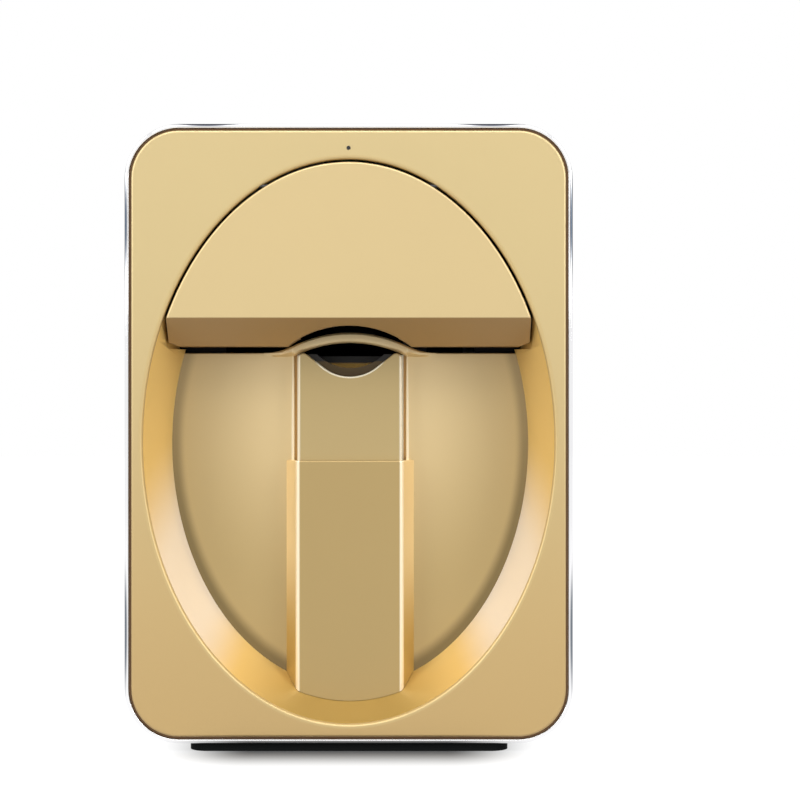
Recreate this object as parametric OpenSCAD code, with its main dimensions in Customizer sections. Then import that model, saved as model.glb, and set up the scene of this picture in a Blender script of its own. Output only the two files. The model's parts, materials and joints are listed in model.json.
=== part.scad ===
// Digital nail art printer: a portable box with an oval recess for the hand, a sprung finger rest under
// an arched hood, a hinged cartridge cover, and inside it a small two-axis inkjet mechanism.
// X is to the right seen from the front, Y goes back into the machine, Z is up from the table.

/* [Casing] */
// Width of the gold front panel
panel_w = 136; // [134:1:144]
// Height of the gold front panel
panel_h = 189; // [188:1:200]
// Corner radius of the front panel
panel_corner = 15.5; // [13:0.5:18]
// Thickness of the front panel
panel_t = 2.5; // [2.2:0.1:3]
// How far the bezel ring stands proud of the panel, all round
rim = 1.4; // [1:0.1:2]
// Depth of the bezel ring, front to back
bezel_d = 7.9; // [7:0.1:9]
// Overall depth, front panel to rear panel
body_d = 175; // [172:1:190]
// Wall of the body shell
shell_wall = 2.4; // [2:0.1:3]
// How far the shell stays inside the bezel's outline
shell_inset = 0.7; // [0.4:0.1:1]
// Thickness of the rear panel
rear_t = 3; // [2.6:0.1:3.6]
// Height of the bezel above the table
foot_h = 2.5; // [2:0.1:4]
// Length of each foot strip
foot_w = 99; // [80:1:104]
// Width of each foot strip, front to back
foot_d = 12; // [8:1:16]
// Distance of the front foot strip behind the panel's face
foot_back = 2; // [1.5:0.5:6]

/* [Oval recess] */
// Width of the panel's strip on each side of the oval opening
strip_side = 4.2; // [4:0.1:6]
// Height of the panel's strip above the oval opening
strip_top = 9.6; // [9:0.1:12]
// Height of the panel's strip below the oval opening
strip_low = 4.6; // [4.4:0.1:6]
// Depth of the recess floor behind the panel's face
recess_d = 20; // [18.5:0.5:21]
// How much narrower the oval is at the floor, each side
draft = 7; // [6:0.1:8]
// How far the floor's oval lies below the opening's
floor_shift = 0.9; // [0.5:0.1:1.5]
// Wall of the recess
recess_wall = 1.8; // [1.6:0.1:2.2]
// Thickness of the recess floor
floor_t = 2.5; // [2:0.1:3]
// Height of the floor's top edge above the oval's centre
floor_edge = 27.9; // [27:0.1:29]

/* [Cartridge cover] */
// Gap between the cover and the oval opening, each side
cover_gap = 0.85; // [0.75:0.05:1]
// Wall of the cover
cover_t = 2.6; // [2.4:0.1:2.8]
// Height of the cover's front lower edge above the floor's top edge
cover_edge = 10.5; // [9.5:0.1:11]
// How far the cover's underside reaches back
shelf_d = 18; // [17:0.5:18]
// How far the cover's lower edge slopes down from its front face
shelf_drop = 8.7; // [8:0.1:9]
// How far back the cover's lower edge slopes
shelf_slope = 9; // [8:0.5:10]
// Gap between the cover's lower ends and the recess wall
end_gap = 0.7; // [0.6:0.05:0.9]
// Radius of the notch round the hood
notch_r = 33.3; // [32:0.1:35]
// Distance of the cover's hinge line below the top of the oval
hinge_drop = 8.3; // [7:0.1:9]
// Distance of the hinge line behind the panel's face
hinge_back = 0.9; // [0.9:0.05:1.1]
// Radius of the cover's hinge pins
hinge_pin_r = 0.5; // [0.4:0.05:0.5]

/* [Finger rest] */
// Outer radius of the arched hood
hood_r = 40.2; // [39:0.1:42]
// Height of the hood's top above the floor's top edge
hood_h = 6.5; // [6:0.1:7]
// Height of the finger hole's top above the floor's top edge
hole_h = 3.2; // [3:0.1:3.6]
// How far the hood stands proud of the floor
hood_d = 3; // [2:0.5:4]
// Width of the finger plate
finger_plate_w = 33.2; // [32:0.2:34]
// Gap between the finger plate and the slot in the floor, each side
slot_gap = 1.2; // [0.9:0.1:1.4]
// Depth of the finger plate's face behind the panel's face
finger_plate_y = 14.6; // [14.4:0.1:15]
// Rounding of the finger plate's long edges
finger_plate_round = 1.2; // [1:0.1:1.4]
// Depth of the sleeve's face behind the panel's face
sleeve_y = 13; // [12.6:0.1:13]
// Half-width of the sleeve at the floor
sleeve_foot = 20.3; // [20:0.1:22]
// Height of the sleeve's top edge below the floor's top edge
sleeve_drop = 34.2; // [32:0.2:36]
// Radius of the scoop in the finger plate's top
scoop_r = 13.5; // [12:0.5:15]
// Slope of the scoop's straight flanks
scoop_a = 38; // [36:1:40]
// Depth of the scoop below the floor's top edge
scoop_drop = 7.6; // [7:0.1:8.4]
// Radius of the finger tray's trough
trough_r = 15.5; // [15:0.1:17]
// Depth of the trough's bottom below the floor's top edge
trough_drop = 4.7; // [4.2:0.1:5]
// Length of the finger tray, front to back
tray_l = 30; // [26:1:32]
// Travel of the finger rest, straight down
finger_travel = 12; // [8:1:12]

/* [Print mechanism] */
// Distance from the recess floor's back to the gantry at the front of its travel
gantry_near = 27; // [27:1:33]
// Travel of the carriage to each side
carriage_travel = 9; // [6:1:9]
// Radius of the long guide rods
y_rod_r = 2.5; // [2:0.25:2.5]
// Radius of the gantry's guide rods
x_rod_r = 2; // [1.5:0.25:2]
// Running clearance of rods and screws, on the radius
run_gap = 0.03; // [0.02:0.01:0.06]
// Fitting clearance of pressed pieces, on the radius
fit_gap = 0.02; // [0.01:0.01:0.04]
// Radius of the long lead screw
y_screw_r = 3; // [2.5:0.25:3]
// Radius of the gantry's lead screw
x_screw_r = 1.5; // [1.25:0.25:1.75]
// Thickness of the chassis sheet
sheet_t = 1.5; // [1.2:0.1:2]
// Side of the square stepper motor
motor_w = 28; // [24:1:28]
// Width of the ink cartridge
cartridge_w = 26; // [24:1:27]
// Height of the ink cartridge
cartridge_h = 39; // [36:1:40]

/* [Electronics] */
// Length of the main board, side to side
board_w = 84; // [80:1:92]
// Thickness of the circuit boards
board_t = 1.6; // [1.2:0.2:2]
// Radius of the power button
button_r = 5.4; // [5:0.1:6]
// Travel of the power button
button_travel = 0.8; // [0.5:0.1:0.8]
// Radius of the supply inlet's opening
inlet_r = 3; // [2.75:0.05:3.2]

/* [Hidden] */
$fn = 64;
oval_fn = 180;
arc_n = 12;
cut = 1;
seat = 0.15;

// Main planes
front_y = -body_d / 2;
back_y = body_d / 2;
panel_back = front_y + panel_t;
bezel_front = front_y + 0.6;
bezel_back = bezel_front + bezel_d;
rear_y = back_y - rear_t;
floor_y = front_y + recess_d;
floor_back = floor_y + floor_t;
bezel_w = panel_w + 2 * rim;
bezel_h = panel_h + 2 * rim;
mid_z = foot_h + bezel_h / 2;
oval_w = panel_w - 2 * strip_side;
oval_h = panel_h - strip_top - strip_low;
oval_z = mid_z + (strip_low - strip_top) / 2;
oval_ratio = oval_h / oval_w;
edge_z = oval_z + floor_edge;

// Shell
shell_w = bezel_w - 2 * shell_inset;
shell_h = bezel_h - 2 * shell_inset;
shell_corner = panel_corner + rim - shell_inset;
shell_low = mid_z - shell_h / 2;
shell_floor = shell_low + shell_wall;
shell_roof = mid_z + shell_h / 2 - shell_wall;
shell_inside = shell_w / 2 - shell_wall;
wall_clear = 0.4;
ledge = strip_side - recess_wall - wall_clear;
window_w = panel_w - 2 * ledge;
window_h = panel_h - 2 * ledge;
window_corner = panel_corner - ledge;
post_r = 3.3;
post_x = panel_w / 2 - 9.5;
post_z = panel_h / 2 - 8.5;
boss_r = 5.2;
boss_l = 12;
screw_r = 1.4;
screw_head_r = 2.6;
screw_head_t = 1.6;

// Cover
cover_low = edge_z + cover_edge;
hinge_y = front_y + hinge_back;
hinge_z = oval_z + oval_h / 2 - hinge_drop;
hinge_half = half_width(hinge_z) - cover_gap;
notch_z = cover_low - 2.3 - notch_r;
magnet_r = 2;
magnet_t = 1.5;
magnet_x = oval_w / 2 - 18;
magnet_gap = 0.4;
magnet_y = front_y + shelf_d;
magnet_z = cover_low - shelf_drop + magnet_r + 2.4;
shelf_low = cover_low - shelf_drop;
shelf_half = half_width(cover_low) - cover_gap;
shelf_taper = 2.4;

// Finger rest
slot_half = finger_plate_w / 2 + slot_gap;
hood_z = edge_z + hood_h - hood_r;
hole_z = edge_z + hole_h - hood_r;
plate_face = front_y + finger_plate_y;
plate_wall = 2;
plate_back = floor_back + 0.5;
plate_low = edge_z - 51.8;
sleeve_face = front_y + sleeve_y;
sleeve_top = edge_z - sleeve_drop;
sleeve_low = oval_z - oval_h / 2 + 11.3;
sleeve_clear = 0.4;
slot_low = plate_low - finger_travel - 1;
scoop_z = edge_z - scoop_drop + scoop_r;
tray_y = floor_back + 1.5;
tray_back = tray_y + tray_l;
tray_half = 14.5;
trough_z = edge_z - trough_drop + trough_r;
tray_low = edge_z - 10.8;
tray_rim = edge_z - 0.3;
slider_y = floor_back + 4;
slider_d = 10;
slider_half = 17;
slider_low = edge_z - 39.8;
slider_top = edge_z - 25.8;
rod_x = 11.5;
rod_y = slider_y + slider_d / 2;
tray_rod_r = 2;
tray_rod_top = tray_low - finger_travel - 1;
bracket_top = slot_low - 0.5;
bracket_low = bracket_top - 6;
spring_r = 3;
spring_wire = 0.45;
spring_turns = 6;
bush_wall = 1.5;

// Mechanism
rear_space = 16;
upright_h = 48;
side_h = 50;
side_space = 14.3;
motor_l = 26.5;
coupler_l = 11;
gantry_y = rear_y - rear_space - motor_l - coupler_l - 27;
gantry_travel = gantry_y - floor_back - gantry_near;
nose_low = edge_z + 6.7;
cartridge_low = nose_low + 5.5;
cartridge_top = cartridge_low + cartridge_h;
pocket_low = cartridge_low - 2;
pocket_wall = 2;
pocket_gap = 0.5;
pocket_half = cartridge_w / 2 + pocket_gap + pocket_wall;
pocket_front = gantry_y - 27;
block_front = gantry_y + 5;
block_back = gantry_y + 15;
x_rod_y = gantry_y + 10;
x_rod_low = edge_z + 21.2;
x_rod_high = edge_z + 46.2;
x_screw_z = edge_z + 36.2;
end_out = shell_inside - side_space;
end_in = end_out - 14;
end_low = edge_z + 16;
end_high = edge_z + 52;
end_front = gantry_y - 2;
end_back = gantry_y + 22;
y_rod_x = end_out - 5;
y_rod_z = edge_z + 28.2;
y_screw_x = end_in - 7;
y_screw_z = edge_z + 12.2;
y_screw_front = floor_back + gantry_near + 7;
bracket_foot = 10;
coupler_y = gantry_y + 26;
coupler_r = 6;
y_motor_front = coupler_y + coupler_l + 1;
chassis_front = floor_back + 1;
chassis_back = y_motor_front + motor_l;
chassis_half = end_out + 4;
chassis_low = shell_floor + 2.4;
chassis_top = edge_z + upright_h;
upright_in = y_rod_x - 7;
latch_half = 11;
latch_z = cartridge_top + 3.5;
latch_y = gantry_y + 9;
latch_t = 2;
latch_pin_r = 1;

// Boards
board_z = chassis_low + sheet_t + 5;
board_y = y_screw_front + bracket_foot + 2;
board_back = chassis_back - sheet_t - 2;
board_d = board_back - board_y;
standoff_x = board_w / 2 - 4;
standoff_y = board_d / 2 - 4;
button_x = 34;
button_z = shell_floor + 30;
button_face = back_y - 0.3;
flange_r = button_r + 1.2;
flange_t = 1.6;
inlet_x = 34;
inlet_z = shell_floor + 12;
light_z = mid_z + panel_h / 2 - 6.2;
light_r = 0.6;

// Half-width of the oval opening at height z
function half_width(z) = oval_w / 2 * sqrt(1 - pow((z - oval_z) / (oval_h / 2), 2));

// Points of an arc, from angle a0 to a1
function arc(cx, cy, r, a0, a1, n = arc_n) =
    [for (i = [0:n]) [cx + r * cos(a0 + (a1 - a0) * i / n), cy + r * sin(a0 + (a1 - a0) * i / n)]];

// Outline of a rectangle with round corners
function round_rect(w, h, r) = concat(
    arc(w / 2 - r, h / 2 - r, r, 0, 90),
    arc(r - w / 2, h / 2 - r, r, 90, 180),
    arc(r - w / 2, r - h / 2, r, 180, 270),
    arc(w / 2 - r, r - h / 2, r, 270, 360)
);

// Mirror image of an outline's points, in reverse order
function mirrored(points) = [for (i = [len(points) - 1:-1:0]) [-points[i][0], points[i][1]]];

// A flat outline, drawn in X and Z, carried from y0 to y1
module along_y(y0, y1) {
    translate([0, y1, 0]) rotate([90, 0, 0]) linear_extrude(y1 - y0) children();
}

// A flat outline, drawn in Y and Z, carried from x0 to x1
module along_x(x0, x1) {
    translate([x0, 0, 0]) rotate([90, 0, 90]) linear_extrude(x1 - x0) children();
}

// A flat outline, drawn in X and Y, carried from z0 to z1
module along_z(z0, z1) {
    translate([0, 0, z0]) linear_extrude(z1 - z0) children();
}

module box(x0, x1, y0, y1, z0, z1) {
    translate([x0, y0, z0]) cube([x1 - x0, y1 - y0, z1 - z0]);
}

module bar_x(x0, x1, y, z, r) {
    translate([x0, y, z]) rotate([0, 90, 0]) cylinder(r = r, h = x1 - x0);
}

module bar_y(x, y0, y1, z, r) {
    translate([x, y0, z]) rotate([-90, 0, 0]) cylinder(r = r, h = y1 - y0);
}

module bar_z(x, y, z0, z1, r) {
    translate([x, y, z0]) cylinder(r = r, h = z1 - z0);
}

// Copies a piece to the other side of the centre plane
module both_sides() {
    children();
    mirror([1, 0, 0]) children();
}

// The oval opening, straight from y0 to y1, grown by g all round
module oval(g, y0, y1) {
    along_y(y0, y1) translate([0, oval_z]) scale([1, (oval_h / 2 + g) / (oval_w / 2 + g)])
        circle(r = oval_w / 2 + g, $fn = oval_fn);
}

// The tapered space inside the recess from y0 to y1, grown by g at its sides
module oval_plug(g, y0, y1) {
    taper = draft / (recess_d - panel_t);
    shift = floor_shift / (recess_d - panel_t);
    r0 = oval_w / 2 - taper * (y0 - panel_back) + g;
    r1 = oval_w / 2 - taper * (y1 - panel_back) + g;
    translate([0, y0, oval_z - shift * (y0 - panel_back)])
        multmatrix([[1, 0, 0, 0], [0, 1, 0, 0], [0, -shift, 1, 0], [0, 0, 0, 1]])
            scale([1, 1, oval_ratio])
                rotate([-90, 0, 0]) cylinder(r1 = r0, r2 = r1, h = y1 - y0, $fn = oval_fn);
}

// A casing screw along Y, its head towards the back
module screw_y(x, y0, y1, z, r = screw_r) {
    bar_y(x, y0, y1, z, r);
    bar_y(x, y1, y1 + screw_head_t, z, screw_head_r);
}

// Places of the recess floor's four screws, on an oval just outside the recess
floor_screw_a = [-150, -30, 12, 168];
floor_screw_off = 3.6;
function floor_screw(a) = [
    (oval_w / 2 - draft + floor_screw_off) * cos(a),
    oval_z - floor_shift + ((oval_w / 2 - draft) * oval_ratio + floor_screw_off) * sin(a)
];

// ---- Casing ----

// Gold plate with the oval opening, and posts for the screws behind it
module front_panel() {
    color("goldenrod") difference() {
        union() {
            along_y(front_y, panel_back) translate([0, mid_z])
                polygon(round_rect(panel_w, panel_h, panel_corner));
            for (sx = [-1, 1], sz = [-1, 1])
                bar_y(sx * post_x, panel_back, bezel_back + cut, mid_z + sz * post_z, post_r);
        }
        oval(0, front_y - cut, panel_back + cut);
        for (sx = [-1, 1], sz = [-1, 1])
            bar_y(sx * post_x, panel_back + 1, bezel_back + 2 * cut, mid_z + sz * post_z, screw_r + fit_gap);
        both_sides() bar_x(hinge_half, hinge_half + 7, hinge_y, hinge_z, hinge_pin_r + run_gap);
        bar_y(0, front_y - cut, panel_back + cut, light_z, light_r + fit_gap);
    }
}

// Tapered wall of the recess, behind the panel, cut away where the cover closes
module recess_wall() {
    color("goldenrod") difference() {
        union() {
            intersection() {
                oval_plug(recess_wall, panel_back, floor_y);
                box(-oval_w, oval_w, panel_back, floor_y, 0, cover_low + 2.5);
            }
            for (a = floor_screw_a)
                bar_y(floor_screw(a)[0], floor_y - 9, floor_y, floor_screw(a)[1], 3);
        }
        oval_plug(0, panel_back - cut, floor_y + cut);
        along_z(shelf_low - end_gap, cover_low + 10) polygon(shelf_plan(end_gap, floor_y + cut));
        for (a = floor_screw_a)
            bar_y(floor_screw(a)[0], floor_y - 6, floor_y + cut, floor_screw(a)[1], 1.1);
    }
}

// Bright trim ring round the panel, with a ledge that the panel sits on
module bezel_ring() {
    color("silver") difference() {
        along_y(bezel_front, bezel_back) translate([0, mid_z])
            polygon(round_rect(bezel_w, bezel_h, panel_corner + rim));
        along_y(bezel_front - cut, panel_back) translate([0, mid_z])
            polygon(round_rect(panel_w + seat, panel_h + seat, panel_corner));
        along_y(panel_back - cut, bezel_back + cut) translate([0, mid_z])
            polygon(round_rect(window_w, window_h, window_corner));
    }
}

// White casing: one wrap-round moulding, open at the front and the back
module body_shell() {
    color("white") difference() {
        union() {
            difference() {
                along_y(bezel_back, rear_y) translate([0, mid_z])
                    polygon(round_rect(shell_w, shell_h, shell_corner));
                along_y(bezel_back - cut, rear_y + cut) translate([0, mid_z])
                    polygon(round_rect(shell_w - 2 * shell_wall, shell_h - 2 * shell_wall,
                        shell_corner - shell_wall));
            }
            for (sx = [-1, 1], sz = [-1, 1]) {
                bar_y(sx * post_x, bezel_back + cut, bezel_back + cut + boss_l, mid_z + sz * post_z, boss_r);
                bar_y(sx * post_x, rear_y - boss_l, rear_y, mid_z + sz * post_z, boss_r);
            }
        }
        for (sx = [-1, 1], sz = [-1, 1]) {
            bar_y(sx * post_x, bezel_back, bezel_back + boss_l + 2 * cut, mid_z + sz * post_z,
                screw_r + fit_gap);
            bar_y(sx * post_x, rear_y - boss_l + 2, rear_y + cut, mid_z + sz * post_z, screw_r + fit_gap);
        }
        for (sx = [-1, 1], y = chassis_screw_y)
            bar_z(sx * chassis_screw_x, y, shell_low - cut, shell_floor + cut, screw_r + fit_gap);
    }
}

// Rear panel with soft edges, vent slots, and openings for the button and the inlet
module rear_panel() {
    soft = 1.8;
    color("white") difference() {
        hull() {
            along_y(rear_y, back_y - soft) translate([0, mid_z])
                polygon(round_rect(shell_w, shell_h, shell_corner));
            along_y(back_y - soft * 0.7, back_y - soft * 0.3) translate([0, mid_z])
                polygon(round_rect(shell_w - 0.6 * soft, shell_h - 0.6 * soft, shell_corner - 0.3 * soft));
            along_y(back_y - 0.1, back_y) translate([0, mid_z])
                polygon(round_rect(shell_w - 2 * soft, shell_h - 2 * soft, shell_corner - soft));
        }
        for (i = [0:vent_count - 1])
            translate([0, 0, vent_low + i * vent_pitch]) vent_slot();
        bar_y(button_x, rear_y - cut, back_y + cut, button_z, button_r + 0.3);
        bar_y(inlet_x, rear_y - cut, back_y + cut, inlet_z, inlet_r + 1.5 + fit_gap);
        for (sx = [-1, 1], sz = [-1, 1]) {
            bar_y(sx * post_x, rear_y - cut, back_y + cut, mid_z + sz * post_z, screw_r + 0.15);
            bar_y(sx * post_x, back_y - screw_head_t - 0.2, back_y + cut, mid_z + sz * post_z,
                screw_head_r + 0.25);
        }
    }
}

vent_count = 9;
vent_pitch = 7;
vent_low = mid_z + 6;
vent_half = 26;
vent_r = 1.5;

// One rear vent slot with round ends, near z = 0
module vent_slot() {
    both_sides() bar_y(vent_half, rear_y - cut, back_y + cut, 0, vent_r);
    box(-vent_half, vent_half, rear_y - cut, back_y + cut, -vent_r, vent_r);
}

// Two rubber strips: one under the bezel and the shell's front edge, one under the shell's back
module foot_strips() {
    color("black") for (y = [front_y + foot_back, back_y - 15.5 - foot_d]) difference() {
        along_z(0, shell_low) translate([0, y + foot_d / 2])
            polygon(round_rect(foot_w, foot_d, foot_d / 2 - 0.5));
        box(-bezel_w, bezel_w, front_y - cut, bezel_back, foot_h, shell_low + cut);
        for (i = [-1, 1])
            box(-foot_w / 2 + foot_d / 2, foot_w / 2 - foot_d / 2,
                y + foot_d / 2 + 2.4 * i - 0.5, y + foot_d / 2 + 2.4 * i + 0.5, -cut, 0.6);
    }
}

// Dark light pipe in the panel's top centre
module status_light() {
    color("black") {
        bar_y(0, front_y, panel_back, light_z, light_r);
        bar_y(0, panel_back, panel_back + 3, light_z, light_r + 1);
    }
}

// Small board behind the light pipe, on two short pegs
module light_board() {
    color("green") {
        box(-7, 7, panel_back + 5, panel_back + 5 + board_t, light_z - 3, light_z + 2.4);
        box(-1, 1, panel_back + 3.1, panel_back + 5, light_z - 0.8, light_z + 0.8);
        both_sides() bar_y(5.4, panel_back, panel_back + 5, light_z + 0.6, 1.1);
    }
}

// ---- Recess ----

// Floor of the recess: slot for the finger plate and the arched hood over the finger hole
module bay_floor() {
    color("goldenrod") difference() {
        union() {
            along_y(floor_y, floor_back) difference() {
                intersection() {
                    union() {
                        translate([0, oval_z - floor_shift]) scale([1, oval_ratio])
                            circle(r = oval_w / 2 - draft + recess_wall, $fn = oval_fn);
                        for (a = floor_screw_a) translate(floor_screw(a)) circle(r = 3.4);
                    }
                    translate([-oval_w, edge_z - 2 * oval_h]) square([2 * oval_w, 2 * oval_h]);
                }
                translate([-slot_half, slot_low]) square([2 * slot_half, edge_z - slot_low + cut]);
            }
            along_y(floor_y - hood_d, floor_back) intersection() {
                difference() {
                    translate([0, hood_z]) circle(r = hood_r, $fn = oval_fn);
                    translate([0, hole_z]) circle(r = hood_r, $fn = oval_fn);
                }
                translate([-21, edge_z]) square([42, hood_h + cut]);
            }
            for (sx = [-1, 1])
                along_y(floor_y - hood_d, floor_back) polygon([
                    [sx * slot_half, edge_z], [sx * (slot_half + 2.6), edge_z],
                    [sx * (slot_half + 1.8), edge_z - 2.4], [sx * slot_half, edge_z - 3]
                ]);
        }
        for (a = floor_screw_a)
            bar_y(floor_screw(a)[0], floor_y - cut, floor_back + cut, floor_screw(a)[1], 1.1 + 0.1);
        for (z = sleeve_screw_z) both_sides()
            bar_y(sleeve_screw_x, floor_y - cut, floor_back + cut, z, 0.9);
    }
}

sleeve_screw_x = 9;
sleeve_screw_z = [slot_low - 10, sleeve_low + 7.2];

// Right half of the sleeve's cross-section, in X and Y
sleeve_half_face = finger_plate_w / 2;
function sleeve_outline(side) = [
    [side * sleeve_foot, floor_y],
    [side * (sleeve_half_face + 0.35), sleeve_face + 0.75],
    [side * (sleeve_half_face + 0.1), sleeve_face + 0.3],
    [side * (sleeve_half_face - 0.3), sleeve_face + 0.07],
    [side * (sleeve_half_face - 0.8), sleeve_face]
];

// Cross-section of the finger plate, grown by g, with rounded front edges
function plate_outline(g, back) = concat(
    [[finger_plate_w / 2 + g, back]],
    arc(finger_plate_w / 2 - finger_plate_round, plate_face + finger_plate_round,
        finger_plate_round + g, 0, -90, 5),
    mirrored(arc(finger_plate_w / 2 - finger_plate_round, plate_face + finger_plate_round,
        finger_plate_round + g, 0, -90, 5)),
    [[-finger_plate_w / 2 - g, back]]
);

// Wide raised guide on the recess floor, hollow behind, into which the finger plate slides
module finger_sleeve() {
    color("goldenrod") difference() {
        union() {
            difference() {
                intersection() {
                    along_z(sleeve_low, sleeve_top)
                        polygon(concat(sleeve_outline(1), mirrored(sleeve_outline(1))));
                    oval_plug(-seat, sleeve_face - cut, floor_y);
                }
                along_z(sleeve_low + 10, sleeve_top + cut)
                    polygon(plate_outline(sleeve_clear, floor_y + cut));
            }
            for (z = sleeve_screw_z) both_sides() bar_y(sleeve_screw_x, sleeve_face + 0.6, floor_y, z, 2.4);
        }
        for (z = sleeve_screw_z) both_sides() bar_y(sleeve_screw_x, floor_y - 4.5, floor_y + cut, z, 0.8);
    }
}

// Upper outline of the finger plate: a scoop between two rounded horns
horn_r = 1.8;
horn_x = finger_plate_w / 2 - horn_r;
flank_x = scoop_r * sin(scoop_a);
flank_z = scoop_z - scoop_r * cos(scoop_a);
horn_z = flank_z + (horn_x - flank_x) * tan(scoop_a) - horn_r / cos(scoop_a);
horn_top = horn_z + horn_r;
function horn_arc() = arc(horn_x, horn_z, horn_r, 0, 90 + scoop_a, 8);

module plate_face_outline() {
    polygon(concat(
        [[-finger_plate_w / 2, plate_low], [finger_plate_w / 2, plate_low]],
        horn_arc(),
        arc(0, scoop_z, scoop_r, scoop_a - 90, -scoop_a - 90, 16),
        mirrored(horn_arc())
    ));
}

// Narrow sliding plate under the finger hole, hollow behind, with two bosses for the slider block
module finger_plate() {
    color("gold") difference() {
        union() {
            difference() {
                intersection() {
                    along_y(plate_face, plate_back) plate_face_outline();
                    along_z(plate_low - cut, edge_z) polygon(plate_outline(0, plate_back));
                }
                box(-finger_plate_w / 2 + plate_wall, finger_plate_w / 2 - plate_wall,
                    plate_face + plate_wall, plate_back + cut, plate_low + plate_wall, edge_z - 12);
            }
            both_sides() bar_y(slider_screw_x, plate_face + plate_wall / 2, slider_y, slider_screw_z, 3);
        }
        both_sides() bar_y(slider_screw_x, plate_face + plate_wall + 1, slider_y + cut, slider_screw_z, 1);
    }
}

slider_screw_x = 5;
slider_screw_z = slider_low + 7;

// Trough that the fingertip lies in, with a stop at its back end
module finger_tray() {
    color("gold") {
        along_y(tray_y, tray_back) difference() {
            translate([-tray_half, tray_low]) square([2 * tray_half, tray_rim - tray_low]);
            translate([0, trough_z]) circle(r = trough_r, $fn = 96);
        }
        along_y(tray_back, tray_back + 2) polygon(concat(
            [[-tray_half, tray_low], [tray_half, tray_low]],
            arc(tray_half - 3, tray_rim - 3, 3, 0, 90, 6),
            arc(3 - tray_half, tray_rim - 3, 3, 90, 180, 6)
        ));
    }
}

// Block that carries the plate and the tray up and down two rods
module slider_block() {
    color("dimgray") difference() {
        union() {
            box(-slider_half, slider_half, slider_y, slider_y + slider_d, slider_low, slider_top);
            box(-8, 8, slider_y + 1, slider_y + slider_d - 1, slider_top, tray_low);
        }
        both_sides() bar_z(rod_x, rod_y, slider_low - cut, slider_top + cut,
            tray_rod_r + bush_wall + fit_gap);
        both_sides() bar_y(slider_screw_x, slider_y - cut, slider_y + slider_d + cut, slider_screw_z, 1.2);
    }
}

module slider_bushes() {
    color("peru") both_sides() difference() {
        bar_z(rod_x, rod_y, slider_low, slider_top, tray_rod_r + bush_wall);
        bar_z(rod_x, rod_y, slider_low - cut, slider_top + cut, tray_rod_r + run_gap);
    }
}

module tray_rods() {
    color("lightgray") both_sides() bar_z(rod_x, rod_y, bracket_low + 1, tray_rod_top, tray_rod_r);
}

module slider_screws() {
    color("dimgray") both_sides() {
        bar_y(slider_screw_x, plate_face + plate_wall + 2, slider_y + slider_d, slider_screw_z, 0.95);
        bar_y(slider_screw_x, slider_y + slider_d, slider_y + slider_d + 1.2, slider_screw_z, 2);
    }
}

// One ring of points round a coil spring's wire, at turn t
function wire_ring(t) = [for (j = [0:5]) let (
    a = 360 * t,
    z = spring_low + spring_wire + (spring_high - spring_low - 2 * spring_wire) * t / spring_turns,
    r = spring_r + spring_wire * cos(60 * j)
) [r * cos(a), r * sin(a), z + spring_wire * sin(60 * j)]];
spring_low = bracket_top;
spring_high = slider_low;
spring_rings = spring_turns * 12;

module coil_spring() {
    n = spring_rings;
    polyhedron(
        points = [for (i = [0:n]) each wire_ring(i / 12)],
        faces = concat(
            [[for (j = [0:5]) j]],
            [[for (j = [5:-1:0]) 6 * n + j]],
            [for (i = [0:n - 1], j = [0:5])
                [6 * i + j, 6 * (i + 1) + j, 6 * (i + 1) + (j + 1) % 6, 6 * i + (j + 1) % 6]]
        )
    );
}

// Two coil springs that push the finger rest up
module tray_springs() {
    color("lightgray") for (sx = [-1, 1]) translate([sx * rod_x, rod_y, 0]) coil_spring();
}

// Bracket on the back of the floor that holds the two rods
module rod_bracket() {
    color("dimgray") difference() {
        union() {
            box(-slider_half, slider_half, floor_back, slider_y + slider_d, bracket_low, bracket_top);
            box(-slider_half, slider_half, floor_back, floor_back + 2.5, bracket_low - 10, bracket_low);
        }
        both_sides() bar_z(rod_x, rod_y, bracket_low + 1, bracket_top + cut, tray_rod_r + fit_gap);
        both_sides() bar_y(sleeve_screw_x, floor_back - cut, floor_back + 2.5 + cut, sleeve_screw_z[0], 0.9);
    }
}

// ---- Cover ----

// Outline of the cover's lower block from above, grown by g: straight ends, then tapered to its back
function shelf_plan(g, back) = [
    [shelf_half + g, front_y - cut], [shelf_half + g, front_y + shelf_slope],
    [shelf_half + g - shelf_taper * (back - front_y - shelf_slope) / (shelf_d - shelf_slope), back],
    [shelf_taper * (back - front_y - shelf_slope) / (shelf_d - shelf_slope) - shelf_half - g, back],
    [-shelf_half - g, front_y + shelf_slope], [-shelf_half - g, front_y - cut]
];

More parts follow.
